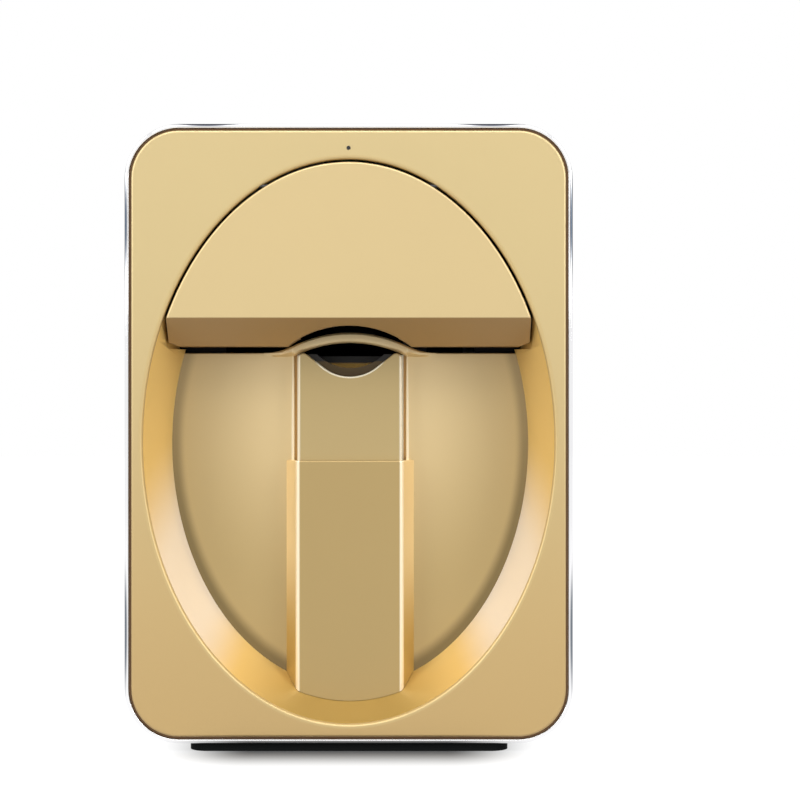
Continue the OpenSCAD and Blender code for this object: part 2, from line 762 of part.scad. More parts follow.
// Upper half-oval cover with a sloped lower edge and a notch round the hood
module cartridge_cover() {
    top = oval_z + oval_h;
    lean = cover_t * (sqrt(pow(shelf_slope, 2) + pow(shelf_drop, 2)) - shelf_slope) / shelf_drop;
    color("gold") difference() {
        union() {
            intersection() {
                oval(-cover_gap, front_y, front_y + cover_t);
                box(-oval_w, oval_w, front_y - cut, front_y + cover_t + cut, cover_low, top);
            }
            intersection() {
                along_z(shelf_low - cut, cover_low + 2 * cover_t)
                    polygon(shelf_plan(0, front_y + shelf_d));
                along_x(-oval_w / 2, oval_w / 2) polygon([
                    [front_y, cover_low], [front_y + shelf_slope, shelf_low],
                    [front_y + shelf_d, shelf_low], [front_y + shelf_d, shelf_low + cover_t],
                    [front_y + shelf_slope + lean, shelf_low + cover_t],
                    [front_y + cover_t, cover_low + lean], [front_y + cover_t, cover_low]
                ]);
            }
            both_sides() bar_y(magnet_x, magnet_y - 5, magnet_y, magnet_z, magnet_r + 1.2);
        }
        along_y(front_y - cut, floor_y + cut) translate([0, notch_z]) circle(r = notch_r, $fn = oval_fn);
        both_sides() bar_x(hinge_half - 7, hinge_half + 7, hinge_y, hinge_z, hinge_pin_r + fit_gap);
        both_sides() bar_y(magnet_x, magnet_y - magnet_t, magnet_y + cut, magnet_z, magnet_r + fit_gap);
    }
}

module cover_hinge_pins() {
    color("lightgray") both_sides() bar_x(hinge_half - 6.8, hinge_half + 6, hinge_y, hinge_z, hinge_pin_r);
}

module cover_magnets() {
    color("silver") both_sides() bar_y(magnet_x, magnet_y - magnet_t, magnet_y, magnet_z, magnet_r);
}

// Magnets that face the cover's, each in a small holder on the chassis upright
module latch_magnets() {
    color("silver") both_sides()
        bar_y(magnet_x, magnet_y + magnet_gap, chassis_front, magnet_z, magnet_r);
}

// ---- Power button and inlet ----

module power_button() {
    color("gold") {
        bar_y(button_x, rear_y - 0.3, button_face, button_z, button_r);
        bar_y(button_x, rear_y - 0.3 - flange_t, rear_y - 0.3, button_z, flange_r);
    }
}

// Tact switch on a small board that screws to the rear panel's inside
module power_switch() {
    tip = rear_y - 0.3 - flange_t - button_travel - 0.1;
    color("black") {
        bar_y(button_x, tip - 1.2, tip, button_z, 1.7);
        box(button_x - 3, button_x + 3, tip - 4.2, tip - 1.2, button_z - 3, button_z + 3);
        box(button_x - 10, button_x + 10, tip - 4.2 - board_t, tip - 4.2, button_z - 5, button_z + 5);
        for (i = [-1, 1]) bar_y(button_x + 8.6 * i, tip - 4.2, rear_y, button_z, 1.3);
    }
}

// Round supply inlet with its centre pin
module inlet_socket() {
    color("black") {
        difference() {
            union() {
                bar_y(inlet_x, rear_y, back_y - 0.2, inlet_z, inlet_r + 1.5);
                box(inlet_x - 5.5, inlet_x + 5.5, rear_y - 11, rear_y, inlet_z - 5.5, inlet_z + 5.5);
            }
            bar_y(inlet_x, rear_y - 9, back_y + cut, inlet_z, inlet_r);
        }
        bar_y(inlet_x, rear_y - 9, back_y - 1.5, inlet_z, 1);
    }
}

// ---- Chassis and drive ----

chassis_screw_x = chassis_half - 14;
chassis_screw_y = [chassis_front + 14, chassis_back - 14];

// Bent steel frame: base, two front uprights, low sides, and a rear wall
module chassis() {
    base_top = chassis_low + sheet_t;
    color("silver") difference() {
        union() {
            box(-chassis_half, chassis_half, chassis_front, chassis_back, chassis_low, base_top);
            both_sides() {
                box(upright_in, chassis_half, chassis_front, chassis_front + sheet_t,
                    chassis_low, chassis_top);
                box(chassis_half - sheet_t, chassis_half, chassis_front, chassis_back,
                    chassis_low, chassis_low + side_h);
            }
            box(-chassis_half, chassis_half, chassis_back - sheet_t, chassis_back, chassis_low, chassis_top);
            for (sx = [-1, 1], y = chassis_screw_y)
                bar_z(sx * chassis_screw_x, y, shell_floor, chassis_low + cut / 2, 4);
        }
        both_sides() bar_y(y_rod_x, chassis_front - cut, chassis_back + cut, y_rod_z, y_rod_r + fit_gap);
        for (sx = [-1, 1], y = chassis_screw_y)
            bar_z(sx * chassis_screw_x, y, shell_floor - cut, chassis_low + sheet_t + cut, 1.2);
    }
}

module y_rods() {
    color("lightgray") both_sides()
        bar_y(y_rod_x, chassis_front - 1, chassis_back + 1, y_rod_z, y_rod_r);
}

// Square stepper with its shaft's bore at the front, fixed to the rear wall
module y_motor() {
    half = motor_w / 2;
    color("dimgray") difference() {
        along_y(y_motor_front, chassis_back - sheet_t) translate([y_screw_x, y_screw_z])
            polygon(round_rect(motor_w, motor_w, 3));
        bar_y(y_screw_x, y_motor_front - cut, y_motor_front + 9, y_screw_z, 2.5 + run_gap);
        for (y = [y_motor_front + 6, chassis_back - 8]) difference() {
            along_y(y, y + 0.6) translate([y_screw_x, y_screw_z]) square(motor_w + 2, center = true);
            along_y(y - cut, y + 1 + cut) translate([y_screw_x, y_screw_z])
                square(motor_w - 1, center = true);
        }
    }
}

// Long lead screw, and the motor shaft behind its coupler
module y_screw() {
    color("lightgray") {
        bar_y(y_screw_x, y_screw_front, coupler_y + coupler_l / 2, y_screw_z, y_screw_r);
        bar_y(y_screw_x, coupler_y + coupler_l / 2, y_motor_front + 8, y_screw_z, 2.5);
    }
}

module y_coupler() {
    color("gold") difference() {
        bar_y(y_screw_x, coupler_y, coupler_y + coupler_l, y_screw_z, coupler_r);
        bar_y(y_screw_x, coupler_y - cut, coupler_y + coupler_l / 2, y_screw_z, y_screw_r + fit_gap);
        bar_y(y_screw_x, coupler_y, coupler_y + coupler_l + cut, y_screw_z, 2.5 + fit_gap);
    }
}

bearing_r = 5;
bearing_w = 3;

// Upright that carries the lead screw's front end, clear of the carriage at the end of its travel
module screw_bracket() {
    y0 = y_screw_front;
    inner = pocket_half + carriage_travel + 0.5;
    color("silver") difference() {
        union() {
            box(inner, y_screw_x + 6, y0, y0 + bearing_w, chassis_low + sheet_t, y_screw_z);
            bar_y(y_screw_x, y0, y0 + bearing_w, y_screw_z, 6);
            box(inner, y_screw_x + 6, y0, y0 + bracket_foot, chassis_low + sheet_t,
                chassis_low + 2 * sheet_t);
        }
        bar_y(y_screw_x, y0 - cut, y0 + bearing_w + cut, y_screw_z, bearing_r + fit_gap);
    }
}

module screw_bearing() {
    color("lightgray") difference() {
        bar_y(y_screw_x, y_screw_front, y_screw_front + bearing_w, y_screw_z, bearing_r);
        bar_y(y_screw_x, y_screw_front - cut, y_screw_front + bearing_w + cut, y_screw_z,
            y_screw_r + run_gap);
    }
}

// ---- Gantry ----

nut_y = end_back - 6;

// Moving frame: two end blocks, a rear crossbar, and a lug for the long screw's nut
module gantry_frame() {
    color("dimgray") difference() {
        union() {
            both_sides() box(end_in, end_out, end_front, end_back, end_low, end_high);
            box(-end_out, end_out, end_back - 4, end_back, end_low + 1, end_high - 1);
            box(y_screw_x - 6.5, end_in + 1, nut_y, end_back, y_screw_z - 7, end_low + 2);
        }
        both_sides() {
            bar_y(y_rod_x, end_front - cut, end_back + cut, y_rod_z, y_rod_r + bush_wall + fit_gap);
            bar_x(end_in - cut, end_in + 3.1, x_rod_y, x_rod_low, x_rod_r + fit_gap);
            bar_x(end_in - cut, end_in + 3.1, x_rod_y, x_rod_high, x_rod_r + fit_gap);
            bar_x(end_in - cut, end_out + cut, x_rod_y, x_screw_z, x_screw_r + run_gap);
        }
        bar_y(y_screw_x, nut_y - cut, end_back + cut, y_screw_z, nut_r + fit_gap);
    }
}

nut_r = 4.5;

module gantry_bushes() {
    color("peru") both_sides() difference() {
        bar_y(y_rod_x, end_front, end_back, y_rod_z, y_rod_r + bush_wall);
        bar_y(y_rod_x, end_front - cut, end_back + cut, y_rod_z, y_rod_r + run_gap);
    }
}

module gantry_nut() {
    color("gold") difference() {
        union() {
            bar_y(y_screw_x, nut_y, end_back, y_screw_z, nut_r);
            bar_y(y_screw_x, nut_y - 1.5, nut_y, y_screw_z, nut_r + 1.5);
        }
        bar_y(y_screw_x, nut_y - 1.5 - cut, end_back + cut, y_screw_z, y_screw_r + run_gap);
    }
}

module x_rods() {
    color("lightgray") for (z = [x_rod_low, x_rod_high])
        bar_x(-end_in - 3, end_in + 3, x_rod_y, z, x_rod_r);
}

// Small round stepper on the gantry's right end
module x_motor() {
    color("silver") difference() {
        union() {
            bar_x(end_out, end_out + 10.5, x_rod_y, x_screw_z, 7.5);
            box(end_out, end_out + 1, x_rod_y - 11, x_rod_y + 11, x_screw_z - 4, x_screw_z + 4);
        }
        bar_x(end_out - cut, end_out + 3, x_rod_y, x_screw_z, x_screw_r + run_gap);
    }
}

module x_screw() {
    color("lightgray") bar_x(-end_out + 1, end_out + 2.5, x_rod_y, x_screw_z, x_screw_r);
}

// ---- Carriage ----

nut_half = 4;
x_nut_r = 3.2;

// Carriage: a block on the two rods, and the pocket that holds the cartridge
module carriage() {
    color("dimgray") difference() {
        union() {
            box(-pocket_half, pocket_half, block_front, block_back, pocket_low, x_rod_high + 5.5);
            difference() {
                box(-pocket_half, pocket_half, pocket_front, block_front, pocket_low, pocket_low + 20);
                box(-pocket_half + pocket_wall, pocket_half - pocket_wall, pocket_front + pocket_wall,
                    block_front + cut, cartridge_low, pocket_low + 20 + cut);
                box(-head_half - 0.5, head_half + 0.5, head_front - 0.5, head_back + 0.5,
                    pocket_low - cut, cartridge_low + cut);
            }
            for (sx = [-1, 1])
                box(sx * (latch_half - 1) - 1.5, sx * (latch_half - 1) + 1.5, latch_y - 2.5, latch_y + 2.5,
                    x_rod_high + 5.5, latch_z + 2.5);
        }
        for (z = [x_rod_low, x_rod_high]) bar_x(-pocket_half - cut, pocket_half + cut, x_rod_y, z,
            x_rod_r + bush_wall + fit_gap);
        bar_x(-pocket_half - cut, pocket_half + cut, x_rod_y, x_screw_z, x_nut_r + fit_gap);
        bar_x(-latch_half - 4, latch_half + 4, latch_y, latch_z, latch_pin_r + fit_gap);
    }
}

head_half = 7;
head_front = gantry_y - 17;
head_back = gantry_y - 7;

module carriage_bushes() {
    color("peru") for (z = [x_rod_low, x_rod_high], sx = [-1, 1]) difference() {
        bar_x(sx * (pocket_half - 4) - 4, sx * (pocket_half - 4) + 4, x_rod_y, z, x_rod_r + bush_wall);
        bar_x(-pocket_half - cut, pocket_half + cut, x_rod_y, z, x_rod_r + run_gap);
    }
}

module carriage_nut() {
    color("gold") difference() {
        bar_x(-nut_half, nut_half, x_rod_y, x_screw_z, x_nut_r);
        bar_x(-nut_half - cut, nut_half + cut, x_rod_y, x_screw_z, x_screw_r + run_gap);
    }
}

// Ink cartridge with a stepped grip at its top front edge
module ink_cartridge() {
    color("black") difference() {
        box(-cartridge_w / 2, cartridge_w / 2, pocket_front + pocket_wall + pocket_gap, block_front - 0.2,
            cartridge_low, cartridge_top);
        box(-cartridge_w / 2 - cut, cartridge_w / 2 + cut, pocket_front, pocket_front + pocket_wall + 3,
            cartridge_top - 9, cartridge_top - 3);
    }
}

module print_head() {
    color("silver") {
        box(-head_half, head_half, head_front, head_back, nose_low + 0.4, cartridge_low);
        box(-head_half + 1, head_half - 1, head_front + 2, head_back - 2, nose_low, nose_low + 0.4);
    }
}

// Lever over the cartridge's top, with a lip in front
module cartridge_latch() {
    color("royalblue") difference() {
        union() {
            box(-latch_half + 2.7, latch_half - 2.7, pocket_front + 5, latch_y, latch_z - latch_t / 2,
                latch_z + latch_t / 2);
            box(-latch_half + 2.7, latch_half - 2.7, pocket_front + 5, pocket_front + 7,
                latch_z - latch_t / 2, latch_z + latch_t / 2 + 2);
            box(-latch_half + 2.7, latch_half - 2.7, pocket_front + 14, pocket_front + 18,
                cartridge_top + 0.3, latch_z - latch_t / 2);
            bar_x(-latch_half + 2.7, latch_half - 2.7, latch_y, latch_z, 2);
        }
        bar_x(-latch_half, latch_half, latch_y, latch_z, latch_pin_r + run_gap);
    }
}

module latch_pin() {
    color("lightgray") bar_x(-latch_half - 0.5, latch_half + 0.5, latch_y, latch_z, latch_pin_r);
}

// ---- Camera and lights ----

camera_y = panel_back + 12.5;
camera_z = shell_roof - 7;
camera_tilt = 28;

// Camera that looks down and back at the fingertip, on a bracket under the roof
module camera_module() {
    color("black") {
        translate([0, camera_y, camera_z]) rotate([camera_tilt, 0, 0]) {
            translate([-8, -5.5, 0]) cube([16, 11, 1.2]);
            translate([-4.5, -4.5, -4]) cube([9, 9, 4]);
            translate([0, 0, -8]) cylinder(r = 3.6, h = 4);
        }
        box(-5, 5, camera_y - 1, camera_y + 2, camera_z, shell_roof);
    }
}

// Two small boards with white lights that shine on the nail
module nail_lights() {
    z = shell_roof - 5;
    color("white") both_sides() {
        box(16, 32, camera_y - 5, camera_y + 1, z - board_t, z);
        bar_z(24, camera_y - 2, z, shell_roof, 2);
        for (x = [19, 24, 29]) {
            bar_z(x, camera_y - 2, z - board_t - 1, z - board_t, 1.8);
        }
    }
}

// ---- Electronics ----

module at_board_corners() {
    for (sx = [-1, 1], sy = [-1, 1])
        translate([sx * standoff_x, board_y + board_d / 2 + sy * standoff_y, 0]) children();
}

module mainboard() {
    color("green") difference() {
        box(-board_w / 2, board_w / 2, board_y, board_y + board_d, board_z, board_z + board_t);
        at_board_corners() bar_z(0, 0, board_z - cut, board_z + board_t + cut, 1.4);
    }
}

module board_standoffs() {
    color("gold") at_board_corners() difference() {
        bar_z(0, 0, chassis_low + sheet_t, board_z, 2.6);
        bar_z(0, 0, board_z - 4, board_z + cut, 1.2);
    }
}

module board_screws() {
    color("silver") at_board_corners() {
        bar_z(0, 0, board_z - 3.5, board_z + board_t, 1.15);
        bar_z(0, 0, board_z + board_t, board_z + board_t + 1.2, 2.3);
    }
}

chip_top = board_z + board_t;

// Square chips on the main board: place, distance from the back edge, side and height of each
module board_chips() {
    color("black") for (c = [[-18, 46, 14, 1.4], [4, 38, 9, 1.2], [22, 54, 7, 1.2], [-26, 22, 7, 1.2]])
        box(c[0] - c[2] / 2, c[0] + c[2] / 2, board_back - c[1] - c[2] / 2, board_back - c[1] + c[2] / 2,
            chip_top, chip_top + c[3]);
}

// Capacitors along the board's back edge
module board_capacitors() {
    color("royalblue") for (c = [[30, 18], [30, 8], [-32, 8], [18, 8]])
        bar_z(c[0], board_back - c[1], chip_top, chip_top + 9, 3.6);
}

module board_connectors() {
    color("white") for (x = [-30, -14, 2, 18]) difference() {
        box(x - 5.5, x + 5.5, board_y + 2, board_y + 8, chip_top, chip_top + 6);
        box(x - 4.5, x + 4.5, board_y + 3, board_y + 7, chip_top + 1.5, chip_top + 6 + cut);
    }
}

// Finned heat sink on the motor drivers
module heat_sink() {
    color("silver") translate([0, board_back - 22, chip_top]) {
        translate([-9, -7, 0]) cube([18, 14, 2]);
        for (i = [0:5]) translate([-9 + i * 3.36, -7, 2]) cube([1.2, 14, 7]);
    }
}

// Radio module with its metal shield
module wifi_module() {
    color("silver") {
        box(14, 30, board_back - 44, board_back - 26, chip_top, chip_top + 0.8);
        box(15.5, 28.5, board_back - 43, board_back - 31, chip_top + 0.8, chip_top + 3);
    }
}

// ---- Fasteners ----

module chassis_screws() {
    color("silver") for (sx = [-1, 1], y = chassis_screw_y) {
        bar_z(sx * chassis_screw_x, y, shell_low, chassis_low + 1, 1.15);
        bar_z(sx * chassis_screw_x, y, shell_low - 1.2, shell_low, 2.4);
    }
}

module front_screws() {
    color("silver") for (sx = [-1, 1], sz = [-1, 1])
        screw_y(sx * post_x, panel_back + 2, bezel_back + cut + boss_l, mid_z + sz * post_z);
}

// Screws of the recess floor, the sleeve and the rod bracket
module recess_screws() {
    color("silver") {
        for (a = floor_screw_a) {
            bar_y(floor_screw(a)[0], floor_y - 5, floor_back, floor_screw(a)[1], 1.05);
            bar_y(floor_screw(a)[0], floor_back, floor_back + 0.8, floor_screw(a)[1], 2);
        }
        for (i = [0, 1]) both_sides() {
            head = floor_back + 2.5 * (1 - i);
            bar_y(sleeve_screw_x, floor_y - 4, head, sleeve_screw_z[i], 0.75);
            bar_y(sleeve_screw_x, head, head + 0.8, sleeve_screw_z[i], 1.6);
        }
    }
}

module rear_screws() {
    color("silver") for (sx = [-1, 1], sz = [-1, 1])
        screw_y(sx * post_x, rear_y - 8, back_y - screw_head_t - 0.2, mid_z + sz * post_z);
}

front_panel();
recess_wall();
bezel_ring();
bay_floor();
finger_sleeve();
finger_plate();
finger_tray();
cartridge_cover();
cover_hinge_pins();
cover_magnets();
latch_magnets();
body_shell();
rear_panel();
foot_strips();
status_light();
light_board();
power_button();
power_switch();
inlet_socket();
slider_block();
slider_bushes();
tray_rods();
tray_springs();
rod_bracket();
slider_screws();
chassis();
y_rods();
y_motor();
y_screw();
y_coupler();
screw_bracket();
screw_bearing();
gantry_frame();
gantry_bushes();
gantry_nut();
x_rods();
x_motor();
x_screw();
carriage();
carriage_bushes();
carriage_nut();
ink_cartridge();
print_head();
cartridge_latch();
latch_pin();
camera_module();
nail_lights();
mainboard();
board_chips();
board_capacitors();
board_connectors();
heat_sink();
wifi_module();
board_standoffs();
board_screws();
chassis_screws();
front_screws();
recess_screws();
rear_screws();
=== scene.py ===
# %% [markdown]
# # A gold nail printer
# The machine is a portable box. Its front is a gold moulding with a large oval recess for the hand. A
# half-oval cover closes the cartridge bay above, and a sprung finger rest waits under an arched hood.
# This file dresses the imported mechanical model: the visible casing pieces get finely rounded meshes in
# the same places, the return springs get coils, and every piece gets a procedural finish.

# %% Load the mechanical frame
import json
import math

import bmesh
import bpy
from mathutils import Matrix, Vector


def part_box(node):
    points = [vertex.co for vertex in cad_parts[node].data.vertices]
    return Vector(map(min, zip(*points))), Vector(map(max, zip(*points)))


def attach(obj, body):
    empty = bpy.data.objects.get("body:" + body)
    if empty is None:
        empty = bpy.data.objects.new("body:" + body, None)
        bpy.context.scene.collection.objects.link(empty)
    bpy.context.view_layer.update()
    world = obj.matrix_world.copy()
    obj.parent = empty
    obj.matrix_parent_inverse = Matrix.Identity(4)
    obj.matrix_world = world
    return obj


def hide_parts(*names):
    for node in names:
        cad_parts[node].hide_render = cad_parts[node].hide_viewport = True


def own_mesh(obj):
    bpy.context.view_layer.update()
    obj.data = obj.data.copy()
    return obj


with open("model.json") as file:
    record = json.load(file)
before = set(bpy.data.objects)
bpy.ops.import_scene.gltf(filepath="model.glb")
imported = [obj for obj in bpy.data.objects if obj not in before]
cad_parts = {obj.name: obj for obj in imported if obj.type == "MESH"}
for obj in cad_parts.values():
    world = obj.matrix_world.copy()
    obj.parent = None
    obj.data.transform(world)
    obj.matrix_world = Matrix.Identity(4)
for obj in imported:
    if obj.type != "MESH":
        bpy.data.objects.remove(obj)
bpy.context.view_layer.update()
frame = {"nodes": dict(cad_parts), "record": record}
nodes = frame["nodes"]

# %% [markdown]
# ## Sizes
# Everything is in metres, in the frame of the mechanical model, so a piece goes where its node is. The
# corners of the nodes' boxes give the planes that the dressed pieces share. A few sizes can't be read
# from a box, such as a corner's radius, and are named here. PAST is how far a cutting shape reaches
# beyond the piece that it cuts, so that no two faces lie in one plane.

# %% Shared planes and sizes
MM = 0.001
panel_low, panel_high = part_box("front_panel")
bezel_low, bezel_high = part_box("bezel_ring")
wall_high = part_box("recess_wall")[1]
floor_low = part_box("bay_floor")[0]
cover_low, cover_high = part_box("cartridge_cover")
plate_low, plate_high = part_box("finger_plate")
sleeve_low, sleeve_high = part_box("finger_sleeve")
tray_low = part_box("finger_tray")[0]
shell_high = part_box("body_shell")[1]
rear_low, rear_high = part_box("rear_panel")
foot_low, foot_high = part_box("foot_strips")

FRONT = panel_low.y
PANEL_W = panel_high.x - panel_low.x
PANEL_H = panel_high.z - panel_low.z
MID_Z = (panel_low.z + panel_high.z) / 2
PANEL_T = 2.5 * MM
PANEL_BACK = FRONT + PANEL_T
PANEL_CORNER = 15.5 * MM
RIM = (bezel_high.x - bezel_low.x - PANEL_W) / 2
OVAL_A = 63.8 * MM
OVAL_B = 87.4 * MM
OVAL_Z = MID_Z - 2.5 * MM
FLOOR_Y = wall_high.y
DRAFT = 7 * MM
FLOOR_SHIFT = 0.9 * MM
FLOOR_A = OVAL_A - DRAFT
FLOOR_B = FLOOR_A * OVAL_B / OVAL_A
FLOOR_Z = OVAL_Z - FLOOR_SHIFT
FLOOR_T = 2.5 * MM
EDGE_Z = OVAL_Z + 27.9 * MM
COVER_EDGE = EDGE_Z + 10.5 * MM
SHELF_Z = cover_low.z
PAST = 1 * MM
print("panel, mm:", round(PANEL_W / MM, 1), "x", round(PANEL_H / MM, 1))
print("depth of the recess, mm:", round((FLOOR_Y - FRONT) / MM, 1))

# %% [markdown]
# ## Camera and stage
# A long lens from 0.6 m, level with the middle of the front, keeps the box's sides out of sight, as in a
# catalogue picture. The floor and the world are white to the camera and to reflections, but they light
# the object only at a plain level, so the gold isn't washed out.

# %% Camera
EYE = Vector((0.0159, FRONT - 0.600, 0.1088))
LENS = 87.4

camera_data = bpy.data.cameras.new("camera")
camera_data.lens = LENS
camera_data.sensor_width = 36
camera_data.clip_start = 0.01
camera = bpy.data.objects.new("camera", camera_data)
camera.location = EYE
camera.rotation_euler = (math.radians(90), 0, 0)
bpy.context.scene.collection.objects.link(camera)
bpy.context.scene.camera = camera
bpy.context.scene.view_settings.view_transform = "Standard"
print("camera at", tuple(round(c, 4) for c in EYE))


# %% Helpers for shader nodes
def new_node(tree, kind, values=(), **settings):
    """Adds a shader node and gives its outputs. Its inputs are named or numbered: a socket is linked, and a
    plain value is set on the input itself."""
    node = tree.nodes.new("ShaderNode" + kind)
    for name, setting in settings.items():
        setattr(node, name, setting)
    for key, value in dict(values).items():
        if isinstance(value, bpy.types.NodeSocket):
            tree.links.new(value, node.inputs[key])
        else:
            node.inputs[key].default_value = value
    return node.outputs


def calc(tree, operation, *values):
    return new_node(tree, "Math", enumerate(values), operation=operation)[0]


def vector_calc(tree, operation, *values):
    outputs = new_node(tree, "VectorMath", enumerate(values), operation=operation)
    return outputs["Value" if operation == "LENGTH" else "Vector"]


def soft_step(tree, value, start, stop):
    """0 up to start, 1 from stop on, and a soft change between them."""
    inputs = {"Value": value, "From Min": start, "From Max": stop}
    return new_node(tree, "MapRange", inputs, interpolation_type="SMOOTHSTEP")["Result"]


def object_coords(tree):
    return new_node(tree, "TexCoord")["Object"]


def seen_directly(tree):
    """1 for camera, mirror and glass rays, which see the bright background; 0 for light that spreads."""
    path = new_node(tree, "LightPath")
    first = calc(tree, "MAXIMUM", path["Is Camera Ray"], path["Is Glossy Ray"])
    return calc(tree, "MAXIMUM", first, path["Is Transmission Ray"])


def empty_material(name):
    material = bpy.data.materials.new(name)
    material.use_nodes = True
    material.node_tree.nodes.clear()
    return material, material.node_tree


# %% Floor and world
def white_world(spread=0.30, seen=1.0):
    world = bpy.data.worlds.new("studio")
    world.use_nodes = True
    tree = world.node_tree
    tree.nodes.clear()
    lights = [new_node(tree, "Background", {"Color": (1, 1, 1, 1), "Strength": strength})[0]
              for strength in (spread, seen)]
    mix = new_node(tree, "MixShader", enumerate((seen_directly(tree), *lights)))[0]
    new_node(tree, "OutputWorld", {"Surface": mix})
    bpy.context.scene.world = world


def floor_paint(painted_shadow_reach=0.032, spread=0.30, seen=0.12):
    """White paint. Near the object's feet its glow is masked off, which paints a soft shadow there, with the
    lamps' real shadow faint on the dim paint; further out it glows to plain white.
    """
    material, tree = empty_material("floor_paint")
    direct = seen_directly(tree)
    paints = [new_node(tree, "BsdfDiffuse", {"Color": (tone, tone, tone, 1)})[0] for tone in (spread, seen)]
    mix = new_node(tree, "MixShader", enumerate((direct, *paints)))[0]
    # A painted shadow: the glow fades in from the box round the feet outwards.
    foot = (0.6 * foot_high.x, -foot_low.y, 0)
    outside = vector_calc(tree, "SUBTRACT", vector_calc(tree, "ABSOLUTE", object_coords(tree)), foot)
    away = vector_calc(tree, "LENGTH", vector_calc(tree, "MAXIMUM", outside, (0, 0, 0)))
    glow = calc(tree, "MULTIPLY", direct, soft_step(tree, away, 0.0, painted_shadow_reach))
    light = new_node(tree, "Emission", {"Strength": glow})[0]
    total = new_node(tree, "AddShader", enumerate((mix, light)))[0]
    new_node(tree, "OutputMaterial", {"Surface": total})
    return material


def pale_floor(half=3.0):
    mesh = bpy.data.meshes.new("floor")
    corners = [(-half, -half, 0), (half, -half, 0), (half, half, 0), (-half, half, 0)]
    mesh.from_pydata(corners, [], [(0, 1, 2, 3)])
    floor = bpy.data.objects.new("floor", mesh)
    floor.data.materials.append(floor_paint())
    bpy.context.scene.collection.objects.link(floor)


white_world()
pale_floor()
print("white floor and world")

# %% [markdown]
# ## Light
# Two tall soft boxes stand left and right of the camera, above the object. They draw thin bright lines
# along the rounded edges and light the lower sides of the oval wall; the brightest edge lines and the pale
# glow on the wall's lower sides are painted light in the colours. A broad box overhead makes the top of
# the panel a little brighter than its foot, helped by a paler tone painted at the top.


# %% Soft boxes
def soft_box(name, place, width, height, watts):
    """An oblong lamp that faces the middle of the panel."""
    data = bpy.data.lights.new(name, "AREA")
    data.shape = "RECTANGLE"
    data.size = width
    data.size_y = height
    data.energy = watts
    light = bpy.data.objects.new(name, data)
    light.location = place
    light.rotation_euler = (Vector((0, FRONT, MID_Z)) - light.location).to_track_quat("-Z", "Y").to_euler()
    bpy.context.scene.collection.objects.link(light)


soft_box("box_left", (-0.75, FRONT - 0.50, 0.50), 0.35, 0.7, 4.2)
soft_box("box_right", (0.75, FRONT - 0.50, 0.50), 0.35, 0.7, 4.2)
soft_box("box_top", (0, FRONT - 0.40, 0.80), 0.8, 0.4, 4)
print("three soft boxes")

# %% [markdown]
# ## Shader groups
# The finishes share a few effects: a coating that drifts a little in tone, stretches of another tone
# that paint light, shade and reflections, a fine moulded grain, and the fine lines that grinding leaves on
# steel. Each is a node group with named inputs, built once, and each material places it with its own
# values. The groups put out colours, heights and roughness only, and the shader itself stays in the
# material.


# %% Group helpers
def new_group(name, inputs, outputs):
    tree = bpy.data.node_groups.new(name, "ShaderNodeTree")
    for label, kind, value in inputs:
        socket = tree.interface.new_socket(name=label, in_out="INPUT", socket_type="NodeSocket" + kind)
        socket.default_value = value
    for label, kind in outputs:
        tree.interface.new_socket(name=label, in_out="OUTPUT", socket_type="NodeSocket" + kind)
    start = tree.nodes.new("NodeGroupInput")
    end = tree.nodes.new("NodeGroupOutput")
    return tree, start.outputs, end.inputs


def noise_in(tree, coords, scale, detail):
    return new_node(tree, "TexNoise", {"Vector": coords, "Scale": scale, "Detail": detail})["Fac"]


def varied(tree, noise, spread, middle):
    """A middle value that the noise moves up and down by the spread."""
    return calc(tree, "MULTIPLY_ADD", calc(tree, "SUBTRACT", noise, 0.5), spread, middle)


# %% Tone drift
def tone_drift_group():
    """A colour that drifts a little over the surface, as a sprayed coating does."""
    tree, given, made = new_group(
        "tone_drift",
        [("Color", "Color", (1, 1, 1, 1)), ("Scale", "Float", 20.0), ("Amount", "Float", 0.05)],
        [("Color", "Color")])
    noise = noise_in(tree, object_coords(tree), given["Scale"], 2)
    value = varied(tree, noise, given["Amount"], 1.0)
    shade = new_node(tree, "HueSaturation", {"Color": given["Color"], "Value": value})
    tree.links.new(shade["Color"], made["Color"])
    return tree


# %% Zone of painted light and shade
def painted_light_zone_group():
    """Two colours that blend across a soft oval zone, the same on the left and the right. The materials use
    it to paint light, shade and reflections into their colours.
    """
    tree, given, made = new_group(
        "painted_light_zone",
        [("Inside", "Color", (1, 1, 1, 1)), ("Outside", "Color", (1, 1, 1, 1)),
         ("Centre", "Vector", (0, 0, 0)), ("Size", "Vector", (1, 1, 1)),
         ("Start", "Float", 0.5), ("Stop", "Float", 1.0)],
        [("Color", "Color")])
    folded = vector_calc(tree, "ABSOLUTE", object_coords(tree))
    offset = vector_calc(tree, "SUBTRACT", folded, given["Centre"])
    away = vector_calc(tree, "LENGTH", vector_calc(tree, "DIVIDE", offset, given["Size"]))
    share = soft_step(tree, away, given["Start"], given["Stop"])
    mix = new_node(tree, "Mix", {"Factor": share, 6: given["Inside"], 7: given["Outside"]}, data_type="RGBA")
    tree.links.new(mix[2], made["Color"])
    return tree


# %% Fine grain
def fine_grain_group():
    """The tiny bumps of a moulded or sprayed surface, and how they vary its roughness."""
    tree, given, made = new_group(
        "fine_grain",
        [("Scale", "Float", 1500.0), ("Roughness", "Float", 0.4), ("Spread", "Float", 0.06)],
        [("Height", "Float"), ("Roughness", "Float")])
    coords = object_coords(tree)
    fine = noise_in(tree, coords, given["Scale"], 3)
    wide = noise_in(tree, coords, calc(tree, "MULTIPLY", given["Scale"], 0.05), 2)
    tree.links.new(fine, made["Height"])
    tree.links.new(varied(tree, wide, given["Spread"], given["Roughness"]), made["Roughness"])
    return tree


